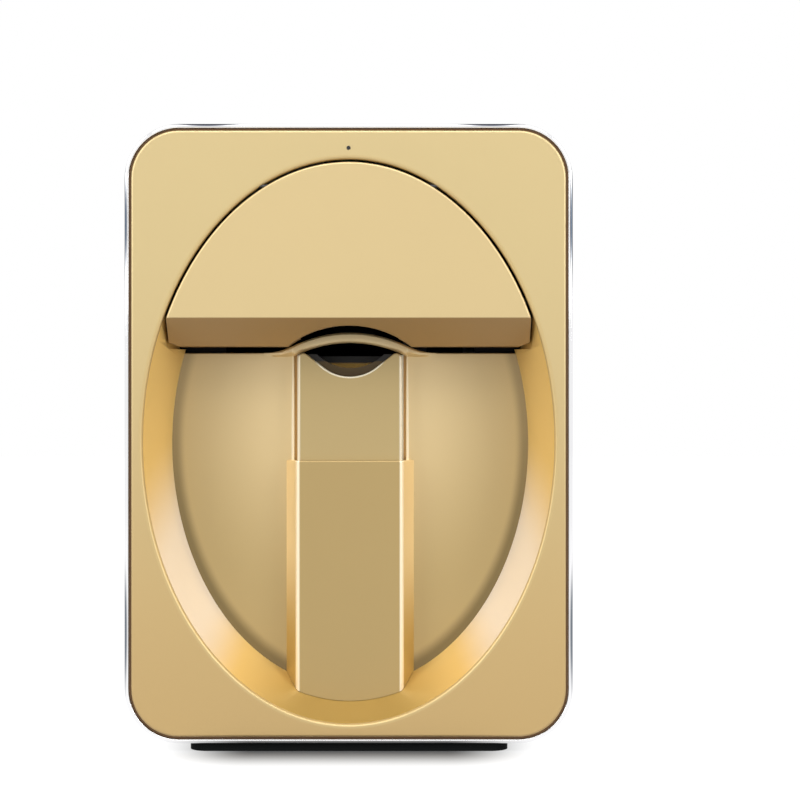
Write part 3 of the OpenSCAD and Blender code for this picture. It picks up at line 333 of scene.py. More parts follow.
# %% Grinding lines
def grinding_lines_group():
    """Fine lines along one axis: noise that is stretched far along it."""
    tree, given, made = new_group(
        "grinding_lines",
        [("Stretch", "Vector", (1.0, 0.02, 1.0)), ("Scale", "Float", 3000.0),
         ("Roughness", "Float", 0.25), ("Spread", "Float", 0.2)],
        [("Height", "Float"), ("Roughness", "Float")])
    stretched = vector_calc(tree, "MULTIPLY", object_coords(tree), given["Stretch"])
    lines = noise_in(tree, stretched, given["Scale"], 2)
    tree.links.new(lines, made["Height"])
    tree.links.new(varied(tree, lines, given["Spread"], given["Roughness"]), made["Roughness"])
    return tree


TONE_DRIFT = tone_drift_group()
PAINTED_LIGHT_ZONE = painted_light_zone_group()
FINE_GRAIN = fine_grain_group()
GRINDING_LINES = grinding_lines_group()
print("groups:", [g.name for g in bpy.data.node_groups])

# %% [markdown]
# ## Finishes
# Most of the machine is moulded plastic: with a sprayed gold coat in front, glossy white round the body,
# and dark and plain inside. The rest is metal and circuit board. One function makes each family, and a
# table gives each finish its own colour and values.


# %% A material with grain, drift and zones
def varied_colour(tree, colour, drift, zones):
    """A drifting colour with stacked zones of another tone, each (tone, centre, size, start, stop). The
    zones are painted light, shade and reflections.
    """
    base = (*colour, 1)
    for tone, centre, size, start, stop in zones:
        inputs = {"Inside": (*tone, 1), "Outside": base, "Centre": centre, "Size": size, "Start": start,
                  "Stop": stop}
        base = new_node(tree, "Group", inputs, node_tree=PAINTED_LIGHT_ZONE)["Color"]
    scale, amount = drift
    inputs = {"Color": base, "Scale": scale, "Amount": amount}
    return new_node(tree, "Group", inputs, node_tree=TONE_DRIFT)["Color"]


def new_finish(name, base_colour, texture, inputs, bump, looks):
    """A Principled material. A texture group gives its roughness and bump, and looks its plain values."""
    material, tree = empty_material(name)
    grain = new_node(tree, "Group", inputs, node_tree=texture)
    relief = new_node(tree, "Bump", {"Strength": bump, "Distance": 0.02 * MM, "Height": grain["Height"]})
    varying = {"Base Color": varied_colour(tree, *base_colour), "Roughness": grain["Roughness"],
               "Normal": relief["Normal"]}
    shader = new_node(tree, "BsdfPrincipled", {**looks, **varying})
    new_node(tree, "OutputMaterial", {"Surface": shader[0]})
    return material


# %% Families of finish
def gold_coat(name, colour, zones=(), roughness=0.36):
    """Satin gold: fine metal flake in a clear coat."""
    return new_finish(name, (colour, (14.0, 0.05), zones), FINE_GRAIN,
                      {"Scale": 2600.0, "Roughness": roughness, "Spread": 0.05}, 0.10,
                      {"Metallic": 0.30, "Coat Weight": 0.12, "Coat Roughness": 0.22})


def plastic(name, colour, roughness, grain, bump, coat=0.0, drift=0.06, ior=1.5):
    return new_finish(name, (colour, (30.0, drift), ()), FINE_GRAIN,
                      {"Scale": grain, "Roughness": roughness, "Spread": 0.08}, bump,
                      {"Coat Weight": coat, "Coat Roughness": 0.06, "IOR": ior})


def metal(name, colour, roughness, along, bump=0.12, spread=0.15, zones=()):
    """Ground or drawn metal, with its lines along one axis."""
    return new_finish(name, (colour, (60.0, 0.08), zones), GRINDING_LINES,
                      {"Stretch": along, "Scale": 2500.0, "Roughness": roughness, "Spread": spread}, bump,
                      {"Metallic": 1.0})


# %% [markdown]
# ## Zones of painted light and shade
# The curved gold mouldings throw light on each other, and their rims, grooves and undersides are seen in
# lighter and darker bands that are too fine for the lamps here. Each band is painted into the colour as a
# zone of another tone, as painted light, shade and reflections: a soft oval, slab or frame, given by its
# centre, its half sizes, and where the blend starts and stops as shares of them. FAR stands for a half size
# without an end. Later zones lie over earlier ones.

# %% Sizes of the zones
FAR = 9.0
GROOVE = 0.75 * MM
GROOVE_D = 1.5 * MM
OVAL_RIM = 1.2 * MM
UNDERSIDE = 6 * MM
SLOT_EDGE = 18.2 * MM
SLOT_REACH = 34 * MM
SLEEVE_EDGE = 17.1 * MM
PLATE_EDGE = 17.0 * MM
REST_EDGE = 15.9 * MM
SCOOP_R = 13.5 * MM
SCOOP_Z = EDGE_Z - 7.6 * MM + SCOOP_R
SCOOP_RIM = SCOOP_R + 0.5 * MM
# The colour of the painted highlights on bright rounded edges.
PAINTED_EDGE_HIGHLIGHT = (1.0, 0.86, 0.62)

# %% Zones of painted light and shade on the gold pieces
# Painted light and shade: paler at the top, a brown painted shade in the groove next to the trim ring, and a
# duller painted tone on the oval's rounded rim, where the light catches it
PANEL_PAINTED_LIGHT_AND_SHADE = [
    ((0.68, 0.53, 0.26), (0, 0, panel_high.z), (FAR, FAR, PANEL_H), 0.2, 1.0),
    ((0.16, 0.075, 0.018), (0, 0, 0), (FAR, -FRONT - GROOVE_D / 2, FAR), 0.998, 1.002),
    ((0.66, 0.49, 0.22), (0, 0, OVAL_Z), (OVAL_A + OVAL_RIM, FAR, OVAL_B + OVAL_RIM), 0.995, 1.005)]
# Painted shade: the sloped underside lies in shade and is painted a darker brown gold
COVER_PAINTED_SHADE = [
    ((0.42, 0.265, 0.105), (0, 0, SHELF_Z - UNDERSIDE), (FAR, FAR, COVER_EDGE - SHELF_Z + UNDERSIDE),
     0.98, 1.01)]
# Painted light on its lower sides, and a brown painted shade at its lowest point
WALL_PAINTED_LIGHT_AND_SHADE = [
    ((0.95, 0.83, 0.68), (49.5 * MM, 0, 54 * MM), (18 * MM, FAR, 42 * MM), 0.35, 1.15),
    ((0.42, 0.27, 0.065), (0, 0, 10 * MM), (38 * MM, FAR, 22 * MM), 0.3, 1.3)]
# Painted light and shade: darker along the floor's rim, where the wall shades it, pale below the hood, and
# painted highlights at the slot's two edges
BAY_PAINTED_LIGHT_AND_SHADE = [
    ((0.50, 0.365, 0.155), (0, 0, FLOOR_Z), (FLOOR_A, FAR, FLOOR_B), 0.92, 0.98),
    ((0.84, 0.65, 0.35), (0, 0, EDGE_Z), (75 * MM, FAR, 85 * MM), 0.15, 1.0),
    (PAINTED_EDGE_HIGHLIGHT, (SLOT_EDGE, 0, EDGE_Z - SLOT_REACH), (0.5 * MM, FAR, SLOT_REACH), 0.8, 1.2)]
# Painted light: paler at the top, with painted highlights on the edges along the channel and a darker tone
# on the face between them
SLEEVE_PAINTED_LIGHT = [
    ((0.90, 0.69, 0.36), (0, 0, 85 * MM), (FAR, FAR, 50 * MM), 0.4, 1.1),
    (PAINTED_EDGE_HIGHLIGHT, (0, 0, 0), (SLEEVE_EDGE, FAR, FAR), 0.99, 1.01),
    ((0.47, 0.335, 0.135), (0, 0, 0), (REST_EDGE, FAR, FAR), 0.98, 1.01)]
# Painted highlights along the plate's edges and round its scoop, duller on its face, and a deep gold on its
# flanges
PLATE_PAINTED_LIGHT = [
    ((1.0, 0.97, 0.82), (0, 0, 0), (PLATE_EDGE, FAR, FAR), 0.995, 1.005),
    ((0.51, 0.38, 0.17), (0, 0, 0), (REST_EDGE, FAR, FAR), 0.97, 1.03),
    ((1.0, 0.92, 0.70), (0, 0, SCOOP_Z), (SCOOP_RIM, FAR, SCOOP_RIM), 0.99, 1.01)]
# Painted shade: dark at the trough's front, and nearly black in a line under the hood
TRAY_PAINTED_SHADE = [
    ((0.10, 0.06, 0.012), (0, -tray_low.y, 0), (FAR, 1.2 * MM, FAR), 0.8, 1.2),
    ((0.006, 0.004, 0.001), (0, 0, EDGE_Z), (FAR, FAR, 2.6 * MM), 0.85, 1.15)]
# Painted dark and grey reflections on the sides and near the top corners
TRIM_PAINTED_REFLECTIONS = [
    ((0.06, 0.075, 0.10), (-bezel_low.x, 0, MID_Z + 65 * MM), (1.3 * MM, FAR, 21 * MM), 0.4, 1.1),
    ((0.012, 0.016, 0.030), (44 * MM, 0, bezel_high.z), (13 * MM, FAR, 1.0 * MM), 0.5, 1.1),
    ((0.16, 0.18, 0.21), (-bezel_low.x, 0, MID_Z - 61 * MM), (1.2 * MM, FAR, 23 * MM), 0.4, 1.1)]

# %% Tables of finishes
ALONG_X = (0.02, 1.0, 1.0)
ALONG_Y = (1.0, 0.02, 1.0)
ALONG_Z = (1.0, 1.0, 0.02)
# Colour, zones of painted light and shade, roughness. The front's gold mouldings share one coat, and
# their different base colours are lit and shaded copies of it: painted light and shade.
GOLDS = {
    "gold_paint": ((0.61, 0.42, 0.175), PANEL_PAINTED_LIGHT_AND_SHADE),
    "cover_gold": ((0.71, 0.545, 0.27), COVER_PAINTED_SHADE, 0.34),
    "wall_gold": ((0.90, 0.62, 0.21), WALL_PAINTED_LIGHT_AND_SHADE),
    "bay_gold": ((0.22, 0.155, 0.055), BAY_PAINTED_LIGHT_AND_SHADE),
    "sleeve_gold": ((0.56, 0.37, 0.11), SLEEVE_PAINTED_LIGHT),
    "plate_gold": ((0.66, 0.38, 0.13), PLATE_PAINTED_LIGHT),
    "button_gold": ((0.68, 0.52, 0.26),),
    "tray_gold": ((0.85, 0.50, 0.08), TRAY_PAINTED_SHADE),
}
# Colour, roughness, scale of the grain, bump, clear coat, drift, index of refraction
PLASTICS = {
    "white_shell": ((0.86, 0.86, 0.85), 0.30, 900.0, 0.10, 0.35, 0.02),
    "foot_rubber": ((0.006, 0.007, 0.007), 0.8, 1800.0, 0.5, 0.0, 0.06, 1.2),
    "dark_plastic": ((0.02, 0.02, 0.022), 0.6, 1300.0, 0.4, 0.0, 0.06, 1.3),
    "black_gloss": ((0.012, 0.012, 0.014), 0.22, 1500.0, 0.08, 0.3),
    "coated_sheet": ((0.012, 0.012, 0.013), 0.7, 1600.0, 0.4, 0.0, 0.06, 1.25),
    "circuit_board": ((0.018, 0.16, 0.07), 0.35, 700.0, 0.15, 0.3, 0.2),
    "chip_epoxy": ((0.02, 0.02, 0.022), 0.55, 2200.0, 0.4),
    "connector_nylon": ((0.80, 0.77, 0.68), 0.5, 1200.0, 0.2),
    "cartridge_black": ((0.025, 0.025, 0.028), 0.4, 1100.0, 0.35, 0.1),
    "latch_blue": ((0.03, 0.09, 0.34), 0.35, 1300.0, 0.2, 0.15),
    "camera_black": ((0.02, 0.02, 0.024), 0.3, 1500.0, 0.2, 0.2),
    "light_white": ((0.86, 0.86, 0.84), 0.4, 1300.0, 0.15),
}
# Colour, roughness, direction of the lines, bump, spread of the roughness, zones of painted reflections
METALS = {
    "oxide_steel": ((0.06, 0.06, 0.065), 0.4, ALONG_X),
    "trim_chrome": ((0.86, 0.86, 0.87), 0.07, ALONG_Y, 0.02, 0.03, TRIM_PAINTED_REFLECTIONS),
    "ground_steel": ((0.70, 0.70, 0.72), 0.18, ALONG_Y),
    "zinc_screw": ((0.62, 0.63, 0.66), 0.28, ALONG_Z),
    "magnet_nickel": ((0.66, 0.65, 0.62), 0.16, ALONG_X),
    "spring_steel": ((0.55, 0.55, 0.57), 0.3, ALONG_X),
    "bronze_bush": ((0.52, 0.30, 0.15), 0.4, ALONG_Z, 0.25),
    "turned_brass": ((0.78, 0.56, 0.22), 0.26, ALONG_X),
    "coupler_aluminium": ((0.72, 0.50, 0.24), 0.3, ALONG_X),
    "motor_steel": ((0.16, 0.16, 0.17), 0.42, ALONG_X, 0.2),
    "small_motor": ((0.62, 0.62, 0.63), 0.32, ALONG_X),
    "capacitor_sleeve": ((0.50, 0.52, 0.56), 0.3, ALONG_Z),
    "sink_aluminium": ((0.66, 0.67, 0.69), 0.35, ALONG_Y),
    "shield_tin": ((0.72, 0.71, 0.68), 0.3, ALONG_X),
}

# %% One finish for each node
finishes = {}
for family, table in ((gold_coat, GOLDS), (plastic, PLASTICS), (metal, METALS)):
    for name, values in table.items():
        finishes[name] = family(name, *values)
own_finish = {"finger_tray": "tray_gold", "cover_hinge_pins": "oxide_steel", "print_head": "coated_sheet"}
slot_of = {part["node"]: part["material_slot"] for part in frame["record"]["subparts"]}
for name, node in nodes.items():
    node.data.materials.clear()
    node.data.materials.append(finishes[own_finish.get(name, slot_of[name])])
print("finishes:", len(finishes), "on", len(nodes), "nodes")

# %% [markdown]
# ## Mesh helpers
# Nearly every casing piece is a flat outline carried back into the machine, so it can be built as a stack
# of loops: one loop of points for each depth, joined by quads. A rounded edge is a few extra loops that
# step inwards along a quarter circle. That gives an exact edge radius all the way round, which a bevel
# modifier can't promise on a thin moulding. Only where two solids meet does a boolean join or cut them.


# %% Outlines
def arc(cx, cz, radius, start, stop, count):
    """Points on an arc, angles in degrees, both ends included."""
    return [(cx + radius * math.cos(math.radians(start + (stop - start) * k / count)),
             cz + radius * math.sin(math.radians(start + (stop - start) * k / count)))
            for k in range(count + 1)]


def circle(cx, cz, radius, count):
    return arc(cx, cz, radius, 0, 360 - 360 / count, count - 1)


def rounded_rect(width, height, radius, z, corner=14, step=3 * MM):
    """A rectangle with round corners about (0, z), its sides cut into short steps, turning left."""
    reach_x, reach_z = width / 2 - radius, height / 2 - radius
    points = []
    for turn, (sx, sz) in enumerate(((1, 1), (-1, 1), (-1, -1), (1, -1))):
        points += arc(sx * reach_x, z + sz * reach_z, radius, 90 * turn, 90 * turn + 90, corner)
        length = 2 * (reach_z if turn % 2 else reach_x)
        along = ((-1, 0), (0, -1), (1, 0), (0, 1))[turn]
        x0, z0 = points[-1]
        count = max(1, round(length / step))
        points += [(x0 + along[0] * length * k / count, z0 + along[1] * length * k / count)
                   for k in range(1, count)]
    return points


def oval_at(depth, grow, angles):
    """The recess's oval at a depth behind the panel's face, grown by grow."""
    t = max(0.0, (FRONT + depth - PANEL_BACK) / (FLOOR_Y - PANEL_BACK))
    a = OVAL_A - DRAFT * t
    b = a * OVAL_B / OVAL_A
    z = OVAL_Z - FLOOR_SHIFT * t
    return [((a + grow) * math.cos(s), z + (b + grow) * math.sin(s)) for s in angles]


def even_angles(count):
    return [2 * math.pi * i / count for i in range(count)]


def at_depth(points, y):
    return [(x, y, z) for x, z in points]


def mirrored(points):
    return [(-x, y) for x, y in reversed(points)]


def inset(points, widths):
    """A closed outline that turns left, moved inwards by its own width at each point."""
    if not isinstance(widths, list):
        widths = [widths] * len(points)
    moved = []
    for i, (x, z) in enumerate(points):
        (px, pz), (nx, nz) = points[i - 1], points[(i + 1) % len(points)]
        ax, az, bx, bz = x - px, z - pz, nx - x, nz - z
        la, lb = math.hypot(ax, az), math.hypot(bx, bz)
        n1, n2 = (-az / la, ax / la), (-bz / lb, bx / lb)
        mx, mz = n1[0] + n2[0], n1[1] + n2[1]
        scale = widths[i] * 2 / max(0.5, mx * mx + mz * mz)
        moved.append((x + mx * scale, z + mz * scale))
    return moved


def soft_corner(before, corner, after, radius, steps=5):
    """Points of a round corner between two edges of an outline."""
    a, c, b = Vector(before), Vector(corner), Vector(after)
    u, v = (a - c).normalized(), (b - c).normalized()
    half = u.angle(v) / 2
    centre = c + (u + v).normalized() * radius / math.sin(half)
    first, last = c + u * radius / math.tan(half) - centre, c + v * radius / math.tan(half) - centre
    turns = [k / steps for k in range(steps + 1)]
    return [tuple(centre + (first * (1 - t) + last * t).normalized() * radius) for t in turns]


def quarter(steps=4):
    """(inward, back) fractions of a radius along a rounded edge, from the side wall to the face."""
    turns = [math.radians(90 * k / steps) for k in range(steps + 1)]
    return [(1 - math.cos(t), 1 - math.sin(t)) for t in turns]


# %% Skins and solids
def skin(loops, closed=False, capped=False):
    """Quads between neighbouring loops. closed joins the last loop to the first, capped fills both ends."""
    count = len(loops[0])
    assert all(len(loop) == count for loop in loops), [len(loop) for loop in loops]
    points = [p for loop in loops for p in loop]
    faces = []
    for row in range(len(loops) if closed else len(loops) - 1):
        a, b = row * count, (row + 1) % len(loops) * count
        faces += [(a + i, a + (i + 1) % count, b + (i + 1) % count, b + i) for i in range(count)]
    if capped:
        faces += [tuple(range(count)), tuple(range(len(points) - 1, len(points) - count - 1, -1))]
    return points, faces


def slab(outline, front, back, front_round=0.0, back_round=0.0):
    """An outline of (x, z) points carried from front to back along Y, with rounded edges."""
    fronts = front_round if isinstance(front_round, list) else [front_round] * len(outline)
    loops = []
    if max(fronts):
        for inward, depth in reversed(quarter()):
            shape = inset(outline, [inward * r for r in fronts])
            loops.append([(x, front + depth * r, z) for (x, z), r in zip(shape, fronts)])
    else:
        loops.append(at_depth(outline, front))
    if back_round:
        for inward, depth in quarter():
            loops.append(at_depth(inset(outline, inward * back_round), back - depth * back_round))
    else:
        loops.append(at_depth(outline, back))
    return skin(loops, capped=True)


def along_x(outline, x0, x1):
    """An outline of (y, z) points carried from x0 to x1."""
    return skin([[(x, y, z) for y, z in outline] for x in (x0, x1)], capped=True)


def along_z(outline, z0, z1):
    """An outline of (x, y) points carried from z0 to z1."""
    return skin([[(x, y, z) for x, y in outline] for z in (z0, z1)], capped=True)


def standing(outline, top, low, top_round=0.0):
    """An outline of (x, y) points carried down from top to low, with a rounded top edge."""
    points, faces = slab(outline, -top, -low, top_round)
    return [(x, z, -y) for x, y, z in points], faces


def block(low, high):
    """A plain box between two corners, for cutting."""
    corners = [(low[0], low[1]), (high[0], low[1]), (high[0], high[1]), (low[0], high[1])]
    return along_z(corners, low[2], high[2])


def rod_x(y, z, radius, x0, x1, count=24):
    return along_x(circle(y, z, radius, count), x0, x1)


def rod_y(x, z, radius, y0, y1, count=48):
    return slab(circle(x, z, radius, count), y0, y1)


def rods_y(places, *sizes):
    """A rod along Y at each place, all with the same sizes."""
    return [rod_y(x, z, *sizes) for x, z in places]


def tube_y(x, z, outer, inner, y0, y1, count=40):
    """A pipe along Y."""
    rings = [(outer, y0), (outer, y1), (inner, y1), (inner, y0)]
    return skin([at_depth(circle(x, z, r, count), y) for r, y in rings], closed=True)


def turned_y(x, z, rings, count=64):
    """Rings of (radius, y) about an axis along Y, closed at both ends."""
    return skin([at_depth(circle(x, z, r, count), y) for r, y in rings], capped=True)


def merged(*shapes):
    """Several separate solids as one (points, faces)."""
    points, faces = [], []
    for more_points, more_faces in shapes:
        start = len(points)
        points += more_points
        faces += [tuple(start + i for i in face) for face in more_faces]
    return points, faces


# %% Pieces
SHARP = math.radians(40)


def tidy_mesh(mesh):
    """Merges doubles, turns the normals out, and shades smooth except across sharp edges."""
    edit = bmesh.new()
    edit.from_mesh(mesh)
    bmesh.ops.remove_doubles(edit, verts=edit.verts, dist=1e-6)
    bmesh.ops.recalc_face_normals(edit, faces=edit.faces)
    for face in edit.faces:
        face.smooth = True
    for edge in edit.edges:
        edge.smooth = len(edge.link_faces) == 2 and edge.calc_face_angle(0) < SHARP
    edit.to_mesh(mesh)
    edit.free()


def new_solid(name, shape):
    mesh = bpy.data.meshes.new(name)
    mesh.from_pydata(shape[0], [], shape[1])
    tidy_mesh(mesh)
    solid = bpy.data.objects.new(name, mesh)
    bpy.context.scene.collection.objects.link(solid)
    return solid


def carve(solid, *steps):
    """Applies boolean steps, each (operation, shape, shape ...), to a solid, one shape after the other."""
    for operation, shape in [(step[0], shape) for step in steps for shape in step[1:]]:
        tool = new_solid("tool", shape)
        cut = solid.modifiers.new("step", "BOOLEAN")
        cut.operation = operation
        cut.solver = "EXACT"
        cut.object = tool
        bpy.context.view_layer.update()
        result = bpy.data.meshes.new_from_object(
            solid.evaluated_get(bpy.context.evaluated_depsgraph_get()))
        solid.modifiers.clear()
        solid.data = result
        bpy.data.objects.remove(tool)
    tidy_mesh(solid.data)
    return solid


def finish_piece(solid, slot, body, *stands_for, bevel=0.0, limit=38, finish=None):
    """Gives a solid its material and its body, and hides the nodes that it stands for."""
    solid.data.materials.clear()
    solid.data.materials.append(finishes[finish or slot])
    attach(solid, body)
    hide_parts(*stands_for)
    if bevel:
        rounding = solid.modifiers.new("rounding", "BEVEL")
        rounding.width = bevel
        rounding.segments = 2
        rounding.limit_method = "ANGLE"
        rounding.angle_limit = math.radians(limit)
    flat = solid.modifiers.new("flat_faces", "WEIGHTED_NORMAL")
    flat.keep_sharp = True
    flat.weight = 100
    print(solid.name, len(solid.data.polygons), "faces")
    return solid


print("helpers ready")

# %% [markdown]
# ## Gold front panel
# The panel is a moulded plate with a full oval opening. Its edges are softly rounded, and the light
# catches them as thin bright lines, helped on the oval's rim by a painted tone of its own. Outside, the
# rounded face ends at a narrow groove, whose brown is painted shade, and a thin flange at the groove's foot
# meets the trim ring. The plate is one band of loops: over the flange, up the groove's side, over the front,
# into the oval and back. The oval's points lie at the same angles as the rectangle's, which keeps the quads
# regular. Four posts behind it take the casing screws.


# %% Front panel
POST_X = PANEL_W / 2 - 9.5 * MM
POST_Z = PANEL_H / 2 - 8.5 * MM
POSTS = [(sx * POST_X, MID_Z + sz * POST_Z) for sx in (-1, 1) for sz in (-1, 1)]
POST_R = 3.3 * MM
POST_BORE = 1.42 * MM


def gold_panel():
    outline = rounded_rect(PANEL_W - 2 * GROOVE, PANEL_H - 2 * GROOVE, PANEL_CORNER - GROOVE, MID_Z)
    angles = [math.atan2((z - OVAL_Z) / OVAL_B, x / OVAL_A) for x, z in outline]
    opening = [(OVAL_A * math.cos(s), OVAL_Z + OVAL_B * math.sin(s)) for s in angles]
    edge, rim = 0.8 * MM, 0.9 * MM
    flange = inset(rounded_rect(PANEL_W, PANEL_H, PANEL_CORNER, MID_Z), 0.02 * MM)
    foot = FRONT + GROOVE_D
    loops = [at_depth(flange, PANEL_BACK), at_depth(flange, foot), at_depth(outline, foot)]
    loops += [at_depth(inset(outline, inward * edge), FRONT + back * edge) for inward, back in quarter(5)]
    loops += [at_depth(inset(opening, -inward * rim), FRONT + back * rim)
              for inward, back in reversed(quarter(5))]
    loops.append(at_depth(opening, PANEL_BACK))
    posts = [tube_y(x, z, POST_R, POST_BORE, PANEL_BACK - 0.1 * MM, bezel_high.y + 1 * MM) for x, z in POSTS]
    return new_solid("gold_panel", merged(skin(loops, closed=True), *posts))


light_low, light_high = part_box("status_light")
light_z = (light_low.z + light_high.z) / 2
panel = gold_panel()
carve(panel, ("DIFFERENCE", rod_y(0, light_z, 0.66 * MM, FRONT - PAST, PANEL_BACK + PAST, 32)))
finish_piece(panel, "gold_paint", "housing", "front_panel")

# %% [markdown]
# ## Bright trim ring
# A plated ring frames the panel and covers the joint with the white body. It reflects the room in broad
# bands, so its front has a generous round edge outside and a fine one inside, next to the gold. The dark
# and grey bands on its sides and near its top corners are painted reflections.


# %% Trim ring
def trim_ring():
    rim_w, rim_h = bezel_high.x - bezel_low.x, bezel_high.z - bezel_low.z
    outer = rounded_rect(rim_w, rim_h, PANEL_CORNER + RIM, MID_Z)
    play = 0.15 * MM
    seat = rounded_rect(PANEL_W + play, PANEL_H + play, PANEL_CORNER + play / 2, MID_Z)
    ledge = 2.0 * MM
    window = rounded_rect(PANEL_W - 2 * ledge, PANEL_H - 2 * ledge, PANEL_CORNER - ledge, MID_Z)
    front, back = bezel_low.y, bezel_high.y
    outside, inside = 0.9 * MM, 0.25 * MM
    loops = [at_depth(outer, back)]
    loops += [at_depth(inset(outer, inward * outside), front + depth * outside)
              for inward, depth in quarter(6)]
    loops += [at_depth(inset(seat, -inward * inside), front + depth * inside)
              for inward, depth in reversed(quarter(3))]
    loops += [at_depth(seat, PANEL_BACK), at_depth(window, PANEL_BACK), at_depth(window, back)]
    return new_solid("trim_ring", skin(loops, closed=True))


finish_piece(trim_ring(), "trim_chrome", "housing", "bezel_ring")

# %% [markdown]
# ## Tapered wall of the recess
# From the oval edge a wall runs back to the recess floor and narrows by 7 mm on each side, so it shows
# as a band that catches the light at its foot. Its lower sides carry painted light, and its lowest point a
# brown painted shade. It's a strip of loops, straight in section. Where the cover closes, the wall stops,
# and a boolean cuts it to the cover's outline with a small gap. Four pegs at its foot take the floor's
# screws.


# %% Recess wall
SHELF_BACK = cover_high.y
SHELF_SLOPE = 9 * MM
COVER_GAP = 0.85 * MM
SHELF_HALF = (cover_high.x - cover_low.x) / 2
SHELF_TAPER = 2.4 * MM
WALL_T = 1.8 * MM


def shelf_plan(grow, back):
    """The cover's lower block from above: straight ends, then tapered to its back."""
    knee = FRONT + SHELF_SLOPE
    far = SHELF_HALF + grow - SHELF_TAPER * (back - knee) / (SHELF_BACK - knee)
    near = SHELF_HALF + grow
    right = [(near, FRONT - PAST), (near, knee), (far, back)]
    return right + mirrored(right)


def floor_screws():
    """Places of the floor's four screws, just outside its rim."""
    reach_a, reach_b = FLOOR_A + 2 * WALL_T, FLOOR_B + 2 * WALL_T
    turns = [math.radians(t) for t in (-150, -30, 12, 168)]
    return [(reach_a * math.cos(t), FLOOR_Z + reach_b * math.sin(t)) for t in turns]


FLOOR_SCREWS = floor_screws()


def recess_strip():
    turns = even_angles(360)
    inner = [at_depth(oval_at(y - FRONT, 0, turns), y) for y in (PANEL_BACK, FLOOR_Y)]
    outer = [at_depth(oval_at(y - FRONT, WALL_T, turns), y) for y in (FLOOR_Y, PANEL_BACK)]
    solid = new_solid("recess_band", skin(inner + outer, closed=True))
    above = block((-0.2, FRONT, COVER_EDGE + 2.5 * MM), (0.2, 0, 0.3))
    shelf = along_z(shelf_plan(0.7 * MM, FLOOR_Y + PAST), SHELF_Z - 0.7 * MM, 0.31)
    carve(solid, ("DIFFERENCE", above, shelf))
    pegs = rods_y(FLOOR_SCREWS, 3 * MM, FLOOR_Y - 9 * MM, FLOOR_Y - 0.01 * MM, 24)
    return carve(solid, ("UNION", *pegs), ("DIFFERENCE", recess_space()))


def recess_space(grow=0.0):
    """The free space inside the recess, a little longer than the wall."""
    turns = even_angles(360)
    near, far = [oval_at(y - FRONT, grow, turns) for y in (PANEL_BACK, FLOOR_Y)]
    return skin([at_depth(near, PANEL_BACK - PAST), at_depth(near, PANEL_BACK), at_depth(far, FLOOR_Y),
                 at_depth(far, FLOOR_Y + PAST)], capped=True)


finish_piece(recess_strip(), "gold_paint", "housing", "recess_wall", finish="wall_gold")

# %% [markdown]
# ## Recess floor and hood
# The floor is a flat moulding with a slot for the finger plate. At its top an arched hood stands 3 mm
# proud over the finger hole, and its two ends flow down into the floor like an eyebrow. The floor is a
# slab with a rounded rim. The hood is a row of cross-sections from left to right: each has a round top
# edge, a short face and a foot, and the foot changes from a free edge over the hole to a hollow curve
# that runs out on the floor.

# %% Sizes of the hood
SLOT_HALF = 17.8 * MM
SLOT_LOW = EDGE_Z - 64.8 * MM
HOOD_R = 40.2 * MM
HOOD_Z = EDGE_Z + 6.5 * MM - HOOD_R
HOLE_Z = EDGE_Z + 3.2 * MM - HOOD_R
HOOD_OUT = floor_low.y
HOOD_END = 27.5 * MM
ARCH_END = 17.3 * MM
HOOD_BACK = FLOOR_Y + FLOOR_T - 0.3 * MM


def smooth_step(t):
    t = min(1.0, max(0.0, t))
    return t * t * (3 - 2 * t)


def hermite(t, z0, slope0, z1, slope1, width):
    return ((2 * t ** 3 - 3 * t ** 2 + 1) * z0 + (t ** 3 - 2 * t ** 2 + t) * width * slope0
            + (3 * t ** 2 - 2 * t ** 3) * z1 + (t ** 3 - t ** 2) * width * slope1)


def hood_top(x):
    """Height of the hood's upper outline: a circle, then a hollow run-out to the floor's top edge."""
    x = abs(x)
    if x <= ARCH_END:
        return HOOD_Z + math.sqrt(HOOD_R ** 2 - x ** 2)
    rise = HOOD_Z + math.sqrt(HOOD_R ** 2 - ARCH_END ** 2)
    slope = -ARCH_END / (rise - HOOD_Z)
    t = (x - ARCH_END) / (HOOD_END - ARCH_END)
    return hermite(t, rise, slope, EDGE_Z - 0.02 * MM, -0.02, HOOD_END - ARCH_END)


# %% Floor with its hood
def hood_section(x):
    """One cross-section of the hood in (y, z), from its top back edge round to its foot."""
    out = (FLOOR_Y - HOOD_OUT) * smooth_step((HOOD_END - abs(x)) / (9.6 * MM))
    top = hood_top(x)
    face = FLOOR_Y - out
    radius = min(0.8 * MM, 0.45 * out + 0.02 * MM)
    points = [(HOOD_BACK, top)] + arc(face + radius, top - radius, radius, 90, 180, 5)
    free_low = HOLE_Z + math.sqrt(HOOD_R ** 2 - min(abs(x), SLOT_HALF + 0.6 * MM) ** 2)
    lip = 1.3 * MM
    free = arc(face + lip, free_low + lip, lip, 180, 270, 6) + [(HOOD_BACK, free_low)]
    foot_z = EDGE_Z - 1.4 * MM
    start_z = top - radius - 0.25 * (top - foot_z)
    sunk = 0.12 * MM
    hollow = [(FLOOR_Y + sunk - (out + sunk) * (1 - smooth_step(t)), start_z + (foot_z - start_z) * t)
              for t in [k / 6 for k in range(7)]]
    hollow.append((HOOD_BACK, foot_z))
    share = smooth_step((abs(x) - (SLOT_HALF - 0.1 * MM)) / (0.5 * MM))
    foot = [(a[0] + (b[0] - a[0]) * share, a[1] + (b[1] - a[1]) * share) for a, b in zip(free, hollow)]
    return points + foot


